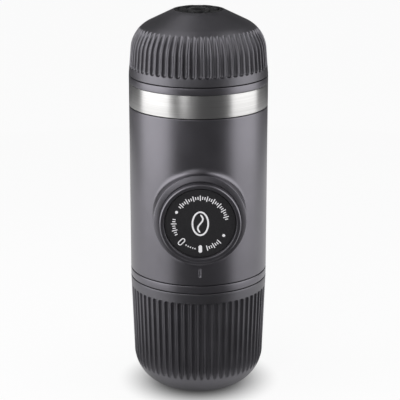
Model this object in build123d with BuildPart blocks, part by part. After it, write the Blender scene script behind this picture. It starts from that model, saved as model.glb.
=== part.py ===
"""Handheld manual espresso maker with a capsule adapter.

It stands on its cup.  From the floor up: cup, water tank, casing with the pump knob on its
front, capsule adapter with a steel band, and the ribbed outlet head with the spout on top.
Millimetres, +Z up, origin at the centre of the cup's foot, pump knob towards -Y.
"""

import os
from math import atan2, cos, degrees, radians, sin, sqrt, tan

from build123d import *

os.makedirs("parts", exist_ok=True)

UP = (Align.CENTER, Align.CENTER, Align.MIN)
DOWN = (Align.CENTER, Align.CENTER, Align.MAX)

# ------------------------------------------------------------ outside, from the floor up
body_radius = 31.0
cup_height = 52.7
collar_height = 3.5
casing_height = 75.4
band_height = 10.2
shoulder_height = 3.2
seam = 0.3
edge_chamfer = 0.35

cup_taper_run = 1.25
cup_corner_radius = 17.0
cup_wall = 2.2
cup_clearance = 0.4
tank_wall = 1.9

head_side_height = 11.8
head_taper_run = 0.95
head_corner_radius = 14.0
head_cone_angle = 26.3
head_top_radius = 11.4
head_wall = 2.8

rib_count = 60
groove_radius = 1.15
head_groove_depth = 1.35
head_groove_margin = 3.6
head_groove_turn = 20.0
cup_groove_depth = 1.2
cup_groove_margin = 4.4
cup_rib_turn = 1.6

casing_wall = 2.2
knob_rise = 31.3
boss_proud = 4.2
boss_wall = 2.2
boss_root_fillet = 2.9
boss_slope = 1.0
boss_lip = 0.2
index_rise = 6.0
index_length = 4.6
index_width = 1.3
index_depth = 0.5
band_thickness = 0.55

# ------------------------------------------------------------ threads and gaskets
neck_inset = 3.8
neck_height = 8.0
neck_wall = 4.8
ridge_height = 1.0
ridge_root = 1.4
ridge_crest = 0.8
ridge_bite = 0.2
thread_clearance = 0.3
thread_pitch = 3.0
thread_starts = 3
male_span = 200.0
female_span = 150.0
neck_end_gap = 0.9
gasket_width = 1.4
gasket_depth = 1.2
fit_play = 0.1
ring_play = 0.06

# ------------------------------------------------------------ pump
piston_play = 0.2
cylinder_bore = 6.8
cylinder_wall = 2.8
cylinder_flange = 3.0
cylinder_screw_gap = 3.6
chamber_flange = 3.0
stroke = 18.0
stroke_margin = 0.3
knob_radius = 17.7
knob_proud = 4.4
knob_wall = 1.8
knob_face = 2.2
knob_tail = 2.0
knob_clearance = 0.4
dial_border = 2.3
dial_thickness = 1.2
dial_sink = 0.9
lug_height = 1.3
lug_length = 3.0
lug_width = 20.0
lug_clearance = 0.3
lock_turn = 45.0
rod_radius = 4.0
rod_socket_wall = 2.2
rod_socket_depth = 6.0
piston_length = 7.0
piston_end_gap = 0.7
spring_wire = 0.75
spring_turns = 7
seat_thickness = 1.0

# ------------------------------------------------------------ pump housing and inner frame
housing_wall = 2.5
housing_back = 3.0
base_thickness = 4.0
foot_y = -15.0
foot_half_width = 12.8
foot_half_depth = 4.0
foot_thickness = 3.0
stem_half_width = 6.0
foot_screw_x = 9.5
post_radius = 2.5
post_gap = 1.5
post_socket = 3.0
small_screw = 0.85
small_head = 1.7
small_head_height = 1.2
post_screw_radius = 1.25
post_screw_head = 2.2
post_screw_head_height = 1.6
screw_bite = 2.3

# ------------------------------------------------------------ valves and pipes
block_half_width = 10.0
block_half_height = 14.0
block_depth = 11.4
block_gap = 1.5
block_screw_edge = 2.2
port_radius = 3.0
valve_setback = 3.9
valve_seat_bore = 1.5
valve_bore = 2.6
outlet_ball_radius = 2.0
outlet_seat_rise = 4.0
inlet_bore = 3.2
inlet_depth = 10.0
duckbill_length = 7.5
relief_rise = 3.9
relief_seat_bore = 0.8
relief_ball_radius = 1.3
relief_bore = 2.0
relief_wall = 0.8
plug_length = 1.8
pipe_radius = 3.0
pipe_bore = 1.8
pipe_flange = 1.6
pipe_socket = 1.5
strainer_radius = 4.0
seal_wire = 0.7

# ------------------------------------------------------------ brewing
brew_drop = 16.4
brew_floor = 4.9
passage_radius = 1.2
chamber_clearance = 0.6
chamber_wall = 2.0
chamber_floor = 2.0
chamber_gap = 1.0
chamber_ring_rise = 4.5
shower_thickness = 0.8
rim_depth = 3.0
ledge = 1.5
plate_thickness = 1.0
needle_height = 3.6
needle_circle = 6.0
needle_count = 3
plate_ledge = 9.6
holder_wall = 1.3
holder_play = 1.1
holder_taper = 2.6
holder_gap = 1.2
holder_rim = 1.2
head_seal_wire = 1.4
head_seal_width = 3.0
pyramid_rows = 6
pyramid_height = 0.8
pyramid_margin = 0.9
extraction_thickness = 2.1
funnel_wall = 1.5
funnel_tube = 4.2
boss_screw_count = 3
spout_flange = 1.4
spout_sink = 1.1
spout_wall = 2.2
vent_count = 8

# ------------------------------------------------------------ worked out from them
collar_bottom = cup_height + seam
collar_top = collar_bottom + collar_height
casing_bottom = collar_top + seam
casing_top = casing_bottom + casing_height
adapter_bottom = casing_top + seam
band_top = adapter_bottom + band_height
shoulder_top = band_top + shoulder_height
head_bottom = shoulder_top + seam
knob_height = casing_bottom + knob_rise

neck_radius = body_radius - casing_wall - neck_inset
neck_bore = neck_radius - neck_wall
skirt_bore = neck_radius + ridge_height + thread_clearance
lead = thread_pitch * thread_starts
first_ridge = (neck_height - lead * male_span / 360) / 2
gasket_inner = skirt_bore + gasket_depth
gasket_outer = gasket_inner + gasket_width
gasket_height = gasket_depth + seam - 2 * fit_play
casing_bore = body_radius - casing_wall
frame_radius = casing_bore - fit_play
boss_reach = body_radius + boss_proud
knob_reach = boss_reach + knob_proud
cylinder_radius = cylinder_bore + cylinder_wall
cylinder_screw_circle = cylinder_radius + cylinder_screw_gap
block_back = sqrt(casing_bore**2 - block_half_width**2) - block_gap
block_front = block_back - block_depth
chamber_depth = block_front - fit_play
cylinder_front = stroke + piston_length + piston_end_gap + stroke_margin - chamber_depth


def thread_ridges(root, crest, start, span):
    """Ridges of a multi-start thread: a trapezoid swept up a helix, once for each start."""
    with BuildPart() as ridge:
        with BuildLine(Plane.XY.offset(start)) as path:
            Helix(pitch=lead, height=lead * span / 360, radius=root)
        with BuildSketch(Plane(origin=(root, 0, start), x_dir=(1, 0, 0), z_dir=(0, 1, 0))):
            with BuildLine():
                Polyline(
                    (0, -ridge_root / 2),
                    (crest - root, -ridge_crest / 2),
                    (crest - root, ridge_crest / 2),
                    (0, ridge_root / 2),
                    close=True,
                )
            make_face()
        sweep(path=path.line, is_frenet=True)
    return [ridge.part.rotate(Axis.Z, 360 * k / thread_starts) for k in range(thread_starts)]


def male_ridges(neck_end):
    """Ridges outside a neck whose lower end is at neck_end."""
    start = neck_end + first_ridge
    return thread_ridges(neck_radius - ridge_bite, neck_radius + ridge_height, start, male_span)


def female_ridges(neck_end):
    """Ridges inside the skirt round that neck, half a pitch higher, so that they interleave."""
    start = neck_end + first_ridge + thread_pitch / 2
    return thread_ridges(skirt_bore + ridge_bite, skirt_bore - ridge_height, start, female_span)


def ring(inner, outer):
    """A flat ring."""
    with BuildSketch() as flat:
        Circle(outer)
        Circle(inner, mode=Mode.SUBTRACT)
    return flat.sketch


def pan_screw(head, head_height, shank, length):
    """A cross-slot pan-head screw: its head's top at zero, its shank below."""
    slot = head_height * 0.8
    with BuildPart() as screw:
        Cylinder(head, head_height, align=DOWN)
        fillet(screw.faces().sort_by(Axis.Z)[-1].edges(), head_height * 0.4)
        with Locations((0, 0, -head_height)):
            Cylinder(shank, length, align=DOWN)
        Box(head * 1.3, head * 0.25, slot, mode=Mode.SUBTRACT)
        Box(head * 0.25, head * 1.3, slot, mode=Mode.SUBTRACT)
    return screw.part


# ============================================================ cup
# The ribbed drinking cup that the machine stands on.  It pulls off the tank downwards.
cup_side_radius = body_radius - cup_taper_run
cup_foot_radius = cup_side_radius - cup_corner_radius
cup_slope = cup_taper_run / (cup_height - cup_corner_radius)


def cup_shape(inset, top):
    """Half section of a cup-shaped solid: flat foot, round corner and tapered side."""
    corner = (cup_corner_radius - inset) * sqrt(0.5)
    side = cup_side_radius - inset
    with BuildSketch() as half:
        with BuildLine():
            Line((0, inset), (cup_foot_radius, inset))
            ThreePointArc(
                (cup_foot_radius, inset),
                (cup_foot_radius + corner, cup_corner_radius - corner),
                (side, cup_corner_radius),
            )
            Line((side, cup_corner_radius), (side + (top - cup_corner_radius) * cup_slope, top))
            Line((side + (top - cup_corner_radius) * cup_slope, top), (0, top))
            Line((0, top), (0, inset))
        make_face()
    return half.sketch


cup_tilt = degrees(atan2(cup_taper_run, cup_height - cup_corner_radius))
cup_groove_radius = cup_side_radius + groove_radius - cup_groove_depth
cup_groove_foot = cup_groove_radius - cup_corner_radius * cup_slope
cup_groove_length = cup_height - cup_groove_margin - groove_radius

with BuildPart() as cup:
    with BuildSketch(Plane.XZ):
        add(cup_shape(0, cup_height))
    revolve(axis=Axis.Z)
    chamfer(cup.edges().filter_by(GeomType.CIRCLE).group_by(Axis.Z)[-1], edge_chamfer)
    with BuildSketch(Plane.XZ):
        add(cup_shape(cup_wall, cup_height + cup_wall))
    revolve(axis=Axis.Z, mode=Mode.SUBTRACT)
    with PolarLocations(0, rib_count, start_angle=cup_rib_turn):
        with Locations(Location((cup_groove_foot, 0, 0), (0, cup_tilt, 0))):
            Cylinder(groove_radius, cup_groove_length, align=UP, mode=Mode.SUBTRACT)
            with Locations((0, 0, cup_groove_length)):
                Sphere(groove_radius, mode=Mode.SUBTRACT)
cup.part.label = "cup"
export_step(cup.part, "parts/cup.step")

# ============================================================ water tank
# It screws onto the neck under the chassis base.  Its collar shows as a ring above the cup.
tank_inset = cup_wall + cup_clearance
tank_floor = tank_inset + tank_wall
neck_end = casing_bottom - neck_height
air_recess_radius = 6.0
air_recess_depth = 3.0
air_stem_radius = 1.2
cup_ring_wire = 0.7
cup_ring_drop = 3.5
cup_ring_height = collar_bottom - cup_ring_drop
cup_bore_there = cup_side_radius - cup_wall + (cup_ring_height - cup_corner_radius) * cup_slope
cup_ring_radius = cup_bore_there - cup_ring_wire - ring_play

with BuildPart() as water_tank:
    with BuildSketch(Plane.XZ):
        add(cup_shape(tank_inset, collar_bottom + seam))
    revolve(axis=Axis.Z)
    with BuildSketch(Plane.XY.offset(collar_bottom)):
        Circle(body_radius)
    extrude(amount=collar_height)
    collar_edges = water_tank.edges().filter_by(GeomType.CIRCLE).filter_by(
        lambda edge: abs(edge.radius - body_radius) < edge_chamfer
    )
    chamfer(collar_edges, edge_chamfer)
    with BuildSketch(Plane.XZ):
        add(cup_shape(tank_floor, collar_top + tank_wall))
    revolve(axis=Axis.Z, mode=Mode.SUBTRACT)
    with BuildSketch(Plane.XY.offset(neck_end - neck_end_gap)):
        Circle(skirt_bore)
    extrude(amount=collar_top - neck_end + neck_end_gap, mode=Mode.SUBTRACT)
    for one_ridge in female_ridges(neck_end):
        add(one_ridge)
    with BuildSketch(Plane.XY.offset(collar_top - gasket_depth)):
        add(ring(gasket_inner - fit_play, gasket_outer + fit_play))
    extrude(amount=gasket_depth, mode=Mode.SUBTRACT)
    with Locations((0, 0, tank_inset)):
        Cylinder(air_recess_radius + tank_wall, air_recess_depth + tank_wall, align=UP)
        Cylinder(air_recess_radius, air_recess_depth, align=UP, mode=Mode.SUBTRACT)
        Cylinder(air_stem_radius + fit_play, 3 * tank_floor, align=UP, mode=Mode.SUBTRACT)
    with Locations((0, 0, cup_ring_height)):
        Torus(cup_ring_radius, cup_ring_wire + ring_play, mode=Mode.SUBTRACT)
water_tank.part.label = "water_tank"
export_step(water_tank.part, "parts/water_tank.step")

with BuildPart() as cup_ring:
    with Locations((0, 0, cup_ring_height)):
        Torus(cup_ring_radius, cup_ring_wire)
cup_ring.part.label = "cup_ring"
export_step(cup_ring.part, "parts/cup_ring.step")

# Umbrella valve in the tank's foot: it lets air in while water is drawn out.
air_seat = tank_inset + air_recess_depth + tank_wall
air_lip = tank_inset + air_recess_depth
umbrella_radius = 4.4
with BuildPart() as air_valve:
    with BuildSketch(Plane.XZ):
        with BuildLine():
            Polyline(
                (0, air_seat + 1.5),
                (air_stem_radius, air_seat + 1.4),
                (umbrella_radius, air_seat + fit_play),
                (air_stem_radius, air_seat + 2 * fit_play),
                (air_stem_radius, air_lip - fit_play),
                (air_stem_radius + 0.7, air_lip - 0.4),
                (air_stem_radius - 0.3, air_lip - 2.2),
                (0, air_lip - 2.2),
                close=True,
            )
        make_face()
    revolve(axis=Axis.Z)
air_valve.part.label = "air_valve"
export_step(air_valve.part, "parts/air_valve.step")

# Flat rubber ring in the collar's groove, a little proud of it.
with BuildPart() as tank_gasket:
    with BuildSketch(Plane.XY.offset(collar_top - gasket_depth + fit_play)):
        add(ring(gasket_inner, gasket_outer))
    extrude(amount=gasket_height)
tank_gasket.part.label = "tank_gasket"
export_step(tank_gasket.part, "parts/tank_gasket.step")

# ============================================================ casing
# Moulded outer tube with the raised boss that the knob slides in, and an index slot below it.
# The boss's face slopes back from the knob to its edge.
boss_bore = knob_radius + knob_clearance
boss_radius = boss_bore + boss_wall


def across(y):
    """Plane across the pump's axis at y, seen from the front: x to the right, z up."""
    return Plane(origin=(0, y, knob_height), x_dir=(1, 0, 0), z_dir=(0, -1, 0))


with BuildPart() as casing:
    with BuildSketch(Plane.XY.offset(casing_bottom)):
        Circle(body_radius)
    extrude(amount=casing_height)
    chamfer(casing.edges().filter_by(GeomType.CIRCLE), edge_chamfer)
    with BuildSketch(across(0)):
        Circle(boss_radius)
    extrude(amount=boss_reach - boss_slope)
    boss_root = casing.edges().filter_by(
        lambda edge: edge.geom_type not in (GeomType.CIRCLE, GeomType.LINE)
    )
    fillet(boss_root, boss_root_fillet)
    with Locations(across(boss_slope - boss_reach)):
        Cone(boss_radius, boss_bore + boss_lip, boss_slope, align=UP)
    with BuildSketch(Plane.XY.offset(casing_bottom)):
        Circle(casing_bore)
    extrude(amount=casing_height, mode=Mode.SUBTRACT)
    with BuildSketch(across(0)):
        Circle(boss_bore)
    extrude(amount=boss_reach, mode=Mode.SUBTRACT)
    with BuildSketch(Plane.XZ.offset(body_radius - index_depth)):
        with Locations((0, casing_bottom + index_rise)):
            SlotOverall(index_length, index_width, rotation=90)
    extrude(amount=2 * index_depth, mode=Mode.SUBTRACT)
casing.part.label = "casing"
export_step(casing.part, "parts/casing.step")

# ============================================================ chassis base
# Lower bulkhead in the casing's end, with the tank's threaded neck hanging from it.
base_top = casing_bottom + base_thickness
valve_y = chamber_depth + fit_play + valve_setback
post_x = block_half_width + post_gap + post_radius
post_y = chamber_depth - post_gap
neck_inner = neck_bore + neck_wall / 2
post_places = ((post_x, post_y), (-post_x, post_y))
foot_places = ((foot_screw_x, foot_y), (-foot_screw_x, foot_y))

with BuildPart() as chassis_base:
    with BuildSketch(Plane.XY.offset(casing_bottom)):
        Circle(frame_radius)
    extrude(amount=base_thickness)
    with BuildSketch(Plane.XY.offset(casing_bottom)):
        add(ring(neck_inner, neck_radius))
    extrude(amount=-neck_height)
    for one_ridge in male_ridges(neck_end):
        add(one_ridge)
    with BuildSketch(Plane.XY.offset(casing_bottom)):
        with Locations((0, valve_y)):
            Circle(pipe_bore)
        with Locations(*post_places):
            Circle(post_screw_radius)
    extrude(amount=base_thickness, mode=Mode.SUBTRACT)
    with BuildSketch(Plane.XY.offset(base_top)):
        with Locations((0, valve_y)):
            Circle(pipe_radius + fit_play)
    extrude(amount=-pipe_socket, mode=Mode.SUBTRACT)
    with BuildSketch(Plane.XY.offset(casing_bottom)):
        with Locations(*post_places):
            Circle(post_screw_head + fit_play)
    extrude(amount=post_screw_head_height, mode=Mode.SUBTRACT)
    with BuildSketch(Plane.XY.offset(base_top)):
        with Locations(*foot_places):
            Circle(small_screw)
    extrude(amount=-screw_bite - fit_play, mode=Mode.SUBTRACT)
chassis_base.part.label = "chassis_base"
export_step(chassis_base.part, "parts/chassis_base.step")

# Mesh cap over the water inlet, in the tank's mouth.
strainer_wall = 0.7
strainer_depth = 1.6
with BuildPart() as inlet_strainer:
    with BuildSketch(Plane.XY.offset(casing_bottom)):
        with Locations((0, valve_y)):
            Circle(strainer_radius)
    extrude(amount=-strainer_depth)
    with BuildSketch(Plane.XY.offset(casing_bottom)):
        with Locations((0, valve_y)):
            Circle(strainer_radius - strainer_wall)
    extrude(amount=strainer_wall - strainer_depth, mode=Mode.SUBTRACT)
    with BuildSketch(Plane.XY.offset(casing_bottom - strainer_depth)):
        with Locations((0, valve_y)):
            with HexLocations(0.8, 4, 4):
                Circle(0.4)
    extrude(amount=strainer_wall, mode=Mode.SUBTRACT)
inlet_strainer.part.label = "inlet_strainer"
export_step(inlet_strainer.part, "parts/inlet_strainer.step")

# ============================================================ brew head
# Upper bulkhead: the brewing bore, a water passage and the threaded neck on top.
brew_bottom = casing_top - brew_drop
brew_floor_top = brew_bottom + brew_floor
passage_height = brew_bottom + brew_floor / 2
cross_radius = passage_radius + 2 * fit_play
brew_neck_end = casing_top + neck_height
web = 1.6
pocket_inner = neck_bore + web
pocket_outer = frame_radius - web
pocket_top = casing_top - 2 * web
spigot_radius = post_radius - 0.7
pipe_tip = pipe_socket - 4 * fit_play

with BuildPart() as brew_head:
    with BuildSketch(Plane.XY.offset(brew_bottom)):
        Circle(frame_radius)
    extrude(amount=brew_drop)
    with BuildSketch(Plane.XY.offset(casing_top)):
        Circle(neck_radius)
    extrude(amount=neck_height)
    for one_ridge in male_ridges(casing_top):
        add(one_ridge)
    with BuildSketch(Plane.XY.offset(brew_floor_top)):
        Circle(neck_bore)
    extrude(amount=brew_neck_end - brew_floor_top, mode=Mode.SUBTRACT)
    with BuildSketch(Plane.XY.offset(brew_bottom)):
        add(ring(pocket_inner, pocket_outer))
    extrude(amount=pocket_top - brew_bottom, mode=Mode.SUBTRACT)
    with BuildSketch(Plane.XY.offset(brew_bottom)):
        with Locations((0, valve_y)):
            Circle(passage_radius)
    extrude(amount=brew_floor / 2, mode=Mode.SUBTRACT)
    with BuildSketch(Plane.XY.offset(brew_bottom)):
        with Locations((0, valve_y)):
            Circle(pipe_radius + fit_play)
    extrude(amount=pipe_tip + fit_play, mode=Mode.SUBTRACT)
    with BuildSketch(Plane.XZ.offset(-valve_y - cross_radius)):
        with Locations((0, passage_height)):
            Circle(cross_radius)
    extrude(amount=valve_y + 2 * cross_radius, mode=Mode.SUBTRACT)
    with BuildSketch(Plane.XY.offset(passage_height)):
        Circle(passage_radius)
    extrude(amount=brew_floor, mode=Mode.SUBTRACT)
    with BuildSketch(Plane.XY.offset(brew_bottom)):
        with Locations(*post_places):
            Circle(spigot_radius + fit_play)
    extrude(amount=post_socket, mode=Mode.SUBTRACT)
    with BuildSketch(Plane.XY.offset(brew_bottom)):
        with Locations(*foot_places):
            Circle(small_screw)
    extrude(amount=screw_bite + fit_play, mode=Mode.SUBTRACT)
brew_head.part.label = "brew_head"
export_step(brew_head.part, "parts/brew_head.step")

# Steel disc that spreads the water under the adapter's chamber.
with BuildPart() as shower_disc:
    with BuildSketch(Plane.XY.offset(brew_floor_top)):
        Circle(neck_bore - 1.0)
        for circle, holes in ((5.0, 8), (10.0, 16), (15.0, 24)):
            with PolarLocations(circle, holes):
                Circle(0.55, mode=Mode.SUBTRACT)
    extrude(amount=shower_thickness)
shower_disc.part.label = "shower_disc"
export_step(shower_disc.part, "parts/shower_disc.step")

# ============================================================ pump housing
# Sleeve behind the boss: it guides the knob, has the two lug pockets and carries the cylinder.
# Its stem stands on the chassis base and holds up the brew head.
back_face = housing_back / 2
sleeve_radius = boss_bore + housing_wall
sleeve_reach = casing_bore - seam
lug_radius = knob_radius + lug_height
pocket_radius = lug_radius + lug_clearance
pocket_reach = knob_tail + lug_length + stroke + lug_clearance


def ring_sector(inner, outer, middle, width):
    """Part of a ring, its middle at an angle counted anticlockwise from the top."""
    first = 90 + middle - width / 2
    with BuildSketch() as sector:
        with BuildLine():
            inner_arc = CenterArc((0, 0), inner, first, width)
            outer_arc = CenterArc((0, 0), outer, first, width)
            Line(inner_arc @ 0, outer_arc @ 0)
            Line(inner_arc @ 1, outer_arc @ 1)
        make_face()
    return sector.sketch


with BuildPart() as pump_housing:
    with BuildSketch(across(back_face)):
        Circle(sleeve_radius)
    extrude(amount=sleeve_reach + back_face)
    with BuildSketch(Plane.XY.offset(base_top)):
        with Locations((0, foot_y)):
            Rectangle(2 * stem_half_width, 2 * foot_half_depth)
    extrude(amount=brew_bottom - base_top)
    for foot_bottom in (base_top, brew_bottom - foot_thickness):
        with BuildSketch(Plane.XY.offset(foot_bottom)):
            with Locations((0, foot_y)):
                RectangleRounded(2 * foot_half_width, 2 * foot_half_depth, foot_thickness / 2)
        extrude(amount=foot_thickness)
        with BuildSketch(Plane.XY.offset(foot_bottom)):
            with Locations(*foot_places):
                Circle(small_screw + fit_play)
        extrude(amount=foot_thickness, mode=Mode.SUBTRACT)
    with BuildSketch(across(-back_face)):
        Circle(boss_bore)
    extrude(amount=sleeve_reach, mode=Mode.SUBTRACT)
    with BuildSketch(across(-back_face)):
        for side in (0, 180):
            add(
                ring_sector(
                    boss_bore - lug_height,
                    pocket_radius,
                    side + lock_turn / 2,
                    lug_width + lock_turn + 4,
                )
            )
    extrude(amount=pocket_reach - back_face, mode=Mode.SUBTRACT)
    with BuildSketch(across(back_face)):
        Circle(cylinder_radius + fit_play)
        with PolarLocations(cylinder_screw_circle, 4, start_angle=45):
            Circle(small_screw)
    extrude(amount=housing_back, mode=Mode.SUBTRACT)
    with BuildSketch(Plane.XY):
        Circle(sleeve_reach)
    extrude(amount=casing_top, mode=Mode.INTERSECT)
pump_housing.part.label = "pump_housing"
export_step(pump_housing.part, "parts/pump_housing.step")

foot_screw = pan_screw(small_head, small_head_height, small_screw - 0.05, foot_thickness + screw_bite)
low_screw_top = base_top + foot_thickness + small_head_height
high_screw_top = brew_bottom - foot_thickness - small_head_height
with BuildPart() as housing_screws:
    for x, y in foot_places:
        add(foot_screw.moved(Location((x, y, low_screw_top))))
        add(foot_screw.moved(Location((x, y, high_screw_top), (180, 0, 0))))
housing_screws.part.label = "housing_screws"
export_step(housing_screws.part, "parts/housing_screws.step")

# Two steel posts tie the bulkheads together behind the pump.
post_screw_bite = 4.0
with BuildPart() as rear_posts:
    with BuildSketch(Plane.XY.offset(base_top)):
        with Locations(*post_places):
            Circle(post_radius)
    extrude(amount=brew_bottom - base_top)
    with BuildSketch(Plane.XY.offset(brew_bottom)):
        with Locations(*post_places):
            Circle(spigot_radius)
    extrude(amount=post_socket - fit_play)
    with BuildSketch(Plane.XY.offset(base_top)):
        with Locations(*post_places):
            Circle(post_screw_radius - fit_play)
    extrude(amount=post_screw_bite + 1, mode=Mode.SUBTRACT)
rear_posts.part.label = "rear_posts"
export_step(rear_posts.part, "parts/rear_posts.step")

post_screw_length = base_thickness - post_screw_head_height + post_screw_bite
post_screw = pan_screw(
    post_screw_head,
    post_screw_head_height - fit_play,
    post_screw_radius - 1.5 * fit_play,
    post_screw_length + fit_play,
)
with BuildPart() as post_screws:
    for x, y in post_places:
        add(post_screw.moved(Location((x, y, casing_bottom), (180, 0, 0))))
post_screws.part.label = "post_screws"
export_step(post_screws.part, "parts/post_screws.step")

# ============================================================ pump cylinder
# Hung in the housing's back wall by its round flange.  The square flange takes the valve block.
screw_x = block_half_width - block_screw_edge
screw_z = block_half_height - block_screw_edge
flange_back = back_face + cylinder_flange
with BuildPart() as pump_cylinder:
    with BuildSketch(across(chamber_depth)):
        Circle(cylinder_radius)
    extrude(amount=chamber_depth + cylinder_front)
    with BuildSketch(across(flange_back)):
        Circle(cylinder_screw_circle + small_head + 0.7)
    extrude(amount=cylinder_flange)
    with BuildSketch(across(chamber_depth)):
        RectangleRounded(2 * block_half_width, 2 * block_half_height, block_screw_edge)
    extrude(amount=chamber_flange)
    with BuildSketch(across(chamber_depth)):
        Circle(cylinder_bore)
    extrude(amount=chamber_depth + cylinder_front, mode=Mode.SUBTRACT)
    with BuildSketch(across(flange_back)):
        with PolarLocations(cylinder_screw_circle, 4, start_angle=45):
            Circle(small_screw + fit_play)
    extrude(amount=cylinder_flange, mode=Mode.SUBTRACT)
    with BuildSketch(across(chamber_depth)):
        with GridLocations(2 * screw_x, 2 * screw_z, 2, 2):
            Circle(small_screw)
    extrude(amount=chamber_flange, mode=Mode.SUBTRACT)
pump_cylinder.part.label = "pump_cylinder"
export_step(pump_cylinder.part, "parts/pump_cylinder.step")

flange_screw = pan_screw(
    small_head, small_head_height, small_screw - 0.05, cylinder_flange + screw_bite
)
with BuildPart() as cylinder_screws:
    for k in range(4):
        turn = radians(45 + 90 * k)
        place = (
            cylinder_screw_circle * cos(turn),
            flange_back + small_head_height,
            knob_height + cylinder_screw_circle * sin(turn),
        )
        add(flange_screw.moved(Location(place, (-90, 0, 0))))
cylinder_screws.part.label = "cylinder_screws"
export_step(cylinder_screws.part, "parts/cylinder_screws.step")

# ============================================================ valve block
# It closes the pump chamber: inlet valve below, outlet valve above, relief valve at the side.
block_bottom = knob_height - block_half_height
block_top = knob_height + block_half_height
outlet_seat = knob_height + outlet_seat_rise
relief_height = outlet_seat + relief_rise
relief_seat = valve_bore + relief_wall
seal_circle = cylinder_bore + cylinder_wall / 2
valve_line = (0, valve_y)
relief_place = (valve_y, relief_height)

with BuildPart() as valve_block:
    with BuildSketch(across(block_back)):
        RectangleRounded(2 * block_half_width, 2 * block_half_height, block_screw_edge)
    extrude(amount=block_depth)
    with BuildSketch(across(valve_y)):
        Circle(port_radius)
    extrude(amount=valve_setback, mode=Mode.SUBTRACT)
    with BuildSketch(Plane.XY.offset(block_bottom)):
        with Locations(valve_line):
            Circle(valve_seat_bore)
    extrude(amount=2 * block_half_height, mode=Mode.SUBTRACT)
    with BuildSketch(Plane.XY.offset(block_bottom)):
        with Locations(valve_line):
            Circle(inlet_bore)
    extrude(amount=inlet_depth, mode=Mode.SUBTRACT)
    with BuildSketch(Plane.XY.offset(outlet_seat)):
        with Locations(valve_line):
            Circle(valve_bore)
    extrude(amount=block_top - outlet_seat, mode=Mode.SUBTRACT)
    with BuildSketch(Plane.YZ):
        with Locations(relief_place):
            Circle(relief_seat_bore)
    extrude(amount=block_half_width, mode=Mode.SUBTRACT)
    with BuildSketch(Plane.YZ.offset(relief_seat)):
        with Locations(relief_place):
            Circle(relief_bore)
    extrude(amount=block_half_width - relief_seat, mode=Mode.SUBTRACT)
    with BuildSketch(across(block_back)):
        with GridLocations(2 * screw_x, 2 * screw_z, 2, 2):
            Circle(small_screw + fit_play)
    extrude(amount=block_depth, mode=Mode.SUBTRACT)
    with BuildSketch(across(block_front + seal_wire)):
        add(ring(seal_circle - seal_wire - ring_play, seal_circle + seal_wire + ring_play))
    extrude(amount=seal_wire, mode=Mode.SUBTRACT)
valve_block.part.label = "valve_block"
export_step(valve_block.part, "parts/valve_block.step")

with BuildPart() as block_seal:
    with BuildSketch(across(block_front + seal_wire)):
        add(ring(seal_circle - seal_wire, seal_circle + seal_wire))
    extrude(amount=seal_wire + fit_play)
    fillet(block_seal.edges(), seal_wire / 2)
block_seal.part.label = "block_seal"
export_step(block_seal.part, "parts/block_seal.step")

block_screw = pan_screw(
    small_head, small_head_height, small_screw - 0.05, block_depth + chamber_flange - fit_play
)
with BuildPart() as block_screws:
    for x in (screw_x, -screw_x):
        for z in (screw_z, -screw_z):
            place = (x, block_back + small_head_height, knob_height + z)
            add(block_screw.moved(Location(place, (-90, 0, 0))))
block_screws.part.label = "block_screws"
export_step(block_screws.part, "parts/block_screws.step")

# Rubber duckbill: it lets water in from the tank and shuts on the pressing stroke.
duckbill_flange = 1.2
duckbill_lip = 0.9
bill_radius = inlet_bore - 0.9
bill_foot = block_bottom + fit_play + duckbill_flange
bill_tip = block_bottom + duckbill_length
with BuildPart() as inlet_valve:
    with BuildSketch(Plane.XY.offset(bill_foot)):
        with Locations(valve_line):
            Circle(bill_radius)
    extrude(amount=bill_tip - bill_foot)
    with BuildSketch(Plane.YZ):
        with BuildLine():
            Polyline(
                (valve_y - bill_radius, bill_foot),
                (valve_y + bill_radius, bill_foot),
                (valve_y + duckbill_lip / 2, bill_tip),
                (valve_y - duckbill_lip / 2, bill_tip),
                close=True,
            )
        make_face()
    extrude(amount=bill_radius, both=True, mode=Mode.INTERSECT)
    with BuildSketch(Plane.XY.offset(bill_foot)):
        with Locations(valve_line):
            Circle(inlet_bore - fit_play)
    extrude(amount=-duckbill_flange)
    with BuildSketch(Plane.XY.offset(bill_foot - duckbill_flange)):
        with Locations(valve_line):
            Circle(bill_radius - 0.9)
    extrude(amount=duckbill_length / 2, mode=Mode.SUBTRACT)
inlet_valve.part.label = "inlet_valve"
export_step(inlet_valve.part, "parts/inlet_valve.step")

# Suction pipe from the tank's mouth to the valve block.
inlet_pipe_end = base_top - pipe_socket + fit_play
with BuildPart() as inlet_pipe:
    with BuildSketch(Plane.XY.offset(inlet_pipe_end)):
        with Locations(valve_line):
            Circle(pipe_radius)
    extrude(amount=block_bottom - inlet_pipe_end)
    with BuildSketch(Plane.XY.offset(block_bottom)):
        with Locations(valve_line):
            Circle(inlet_bore + pipe_flange)
    extrude(amount=-pipe_flange)
    with BuildSketch(Plane.XY.offset(inlet_pipe_end)):
        with Locations(valve_line):
            Circle(pipe_bore)
    extrude(amount=block_bottom - inlet_pipe_end, mode=Mode.SUBTRACT)
inlet_pipe.part.label = "inlet_pipe"
export_step(inlet_pipe.part, "parts/inlet_pipe.step")

# Pressure pipe from the outlet valve up into the brew head.
with BuildPart() as outlet_pipe:
    with BuildSketch(Plane.XY.offset(block_top)):
        with Locations(valve_line):
            Circle(valve_bore + pipe_flange)
    extrude(amount=pipe_flange)
    with BuildSketch(Plane.XY.offset(block_top)):
        with Locations(valve_line):
            Circle(pipe_radius)
    extrude(amount=brew_bottom + pipe_tip - block_top)
    with BuildSketch(Plane.XY.offset(block_top)):
        with Locations(valve_line):
            Circle(passage_radius)
    extrude(amount=brew_bottom + pipe_tip - block_top, mode=Mode.SUBTRACT)
outlet_pipe.part.label = "outlet_pipe"
export_step(outlet_pipe.part, "parts/outlet_pipe.step")


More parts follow.
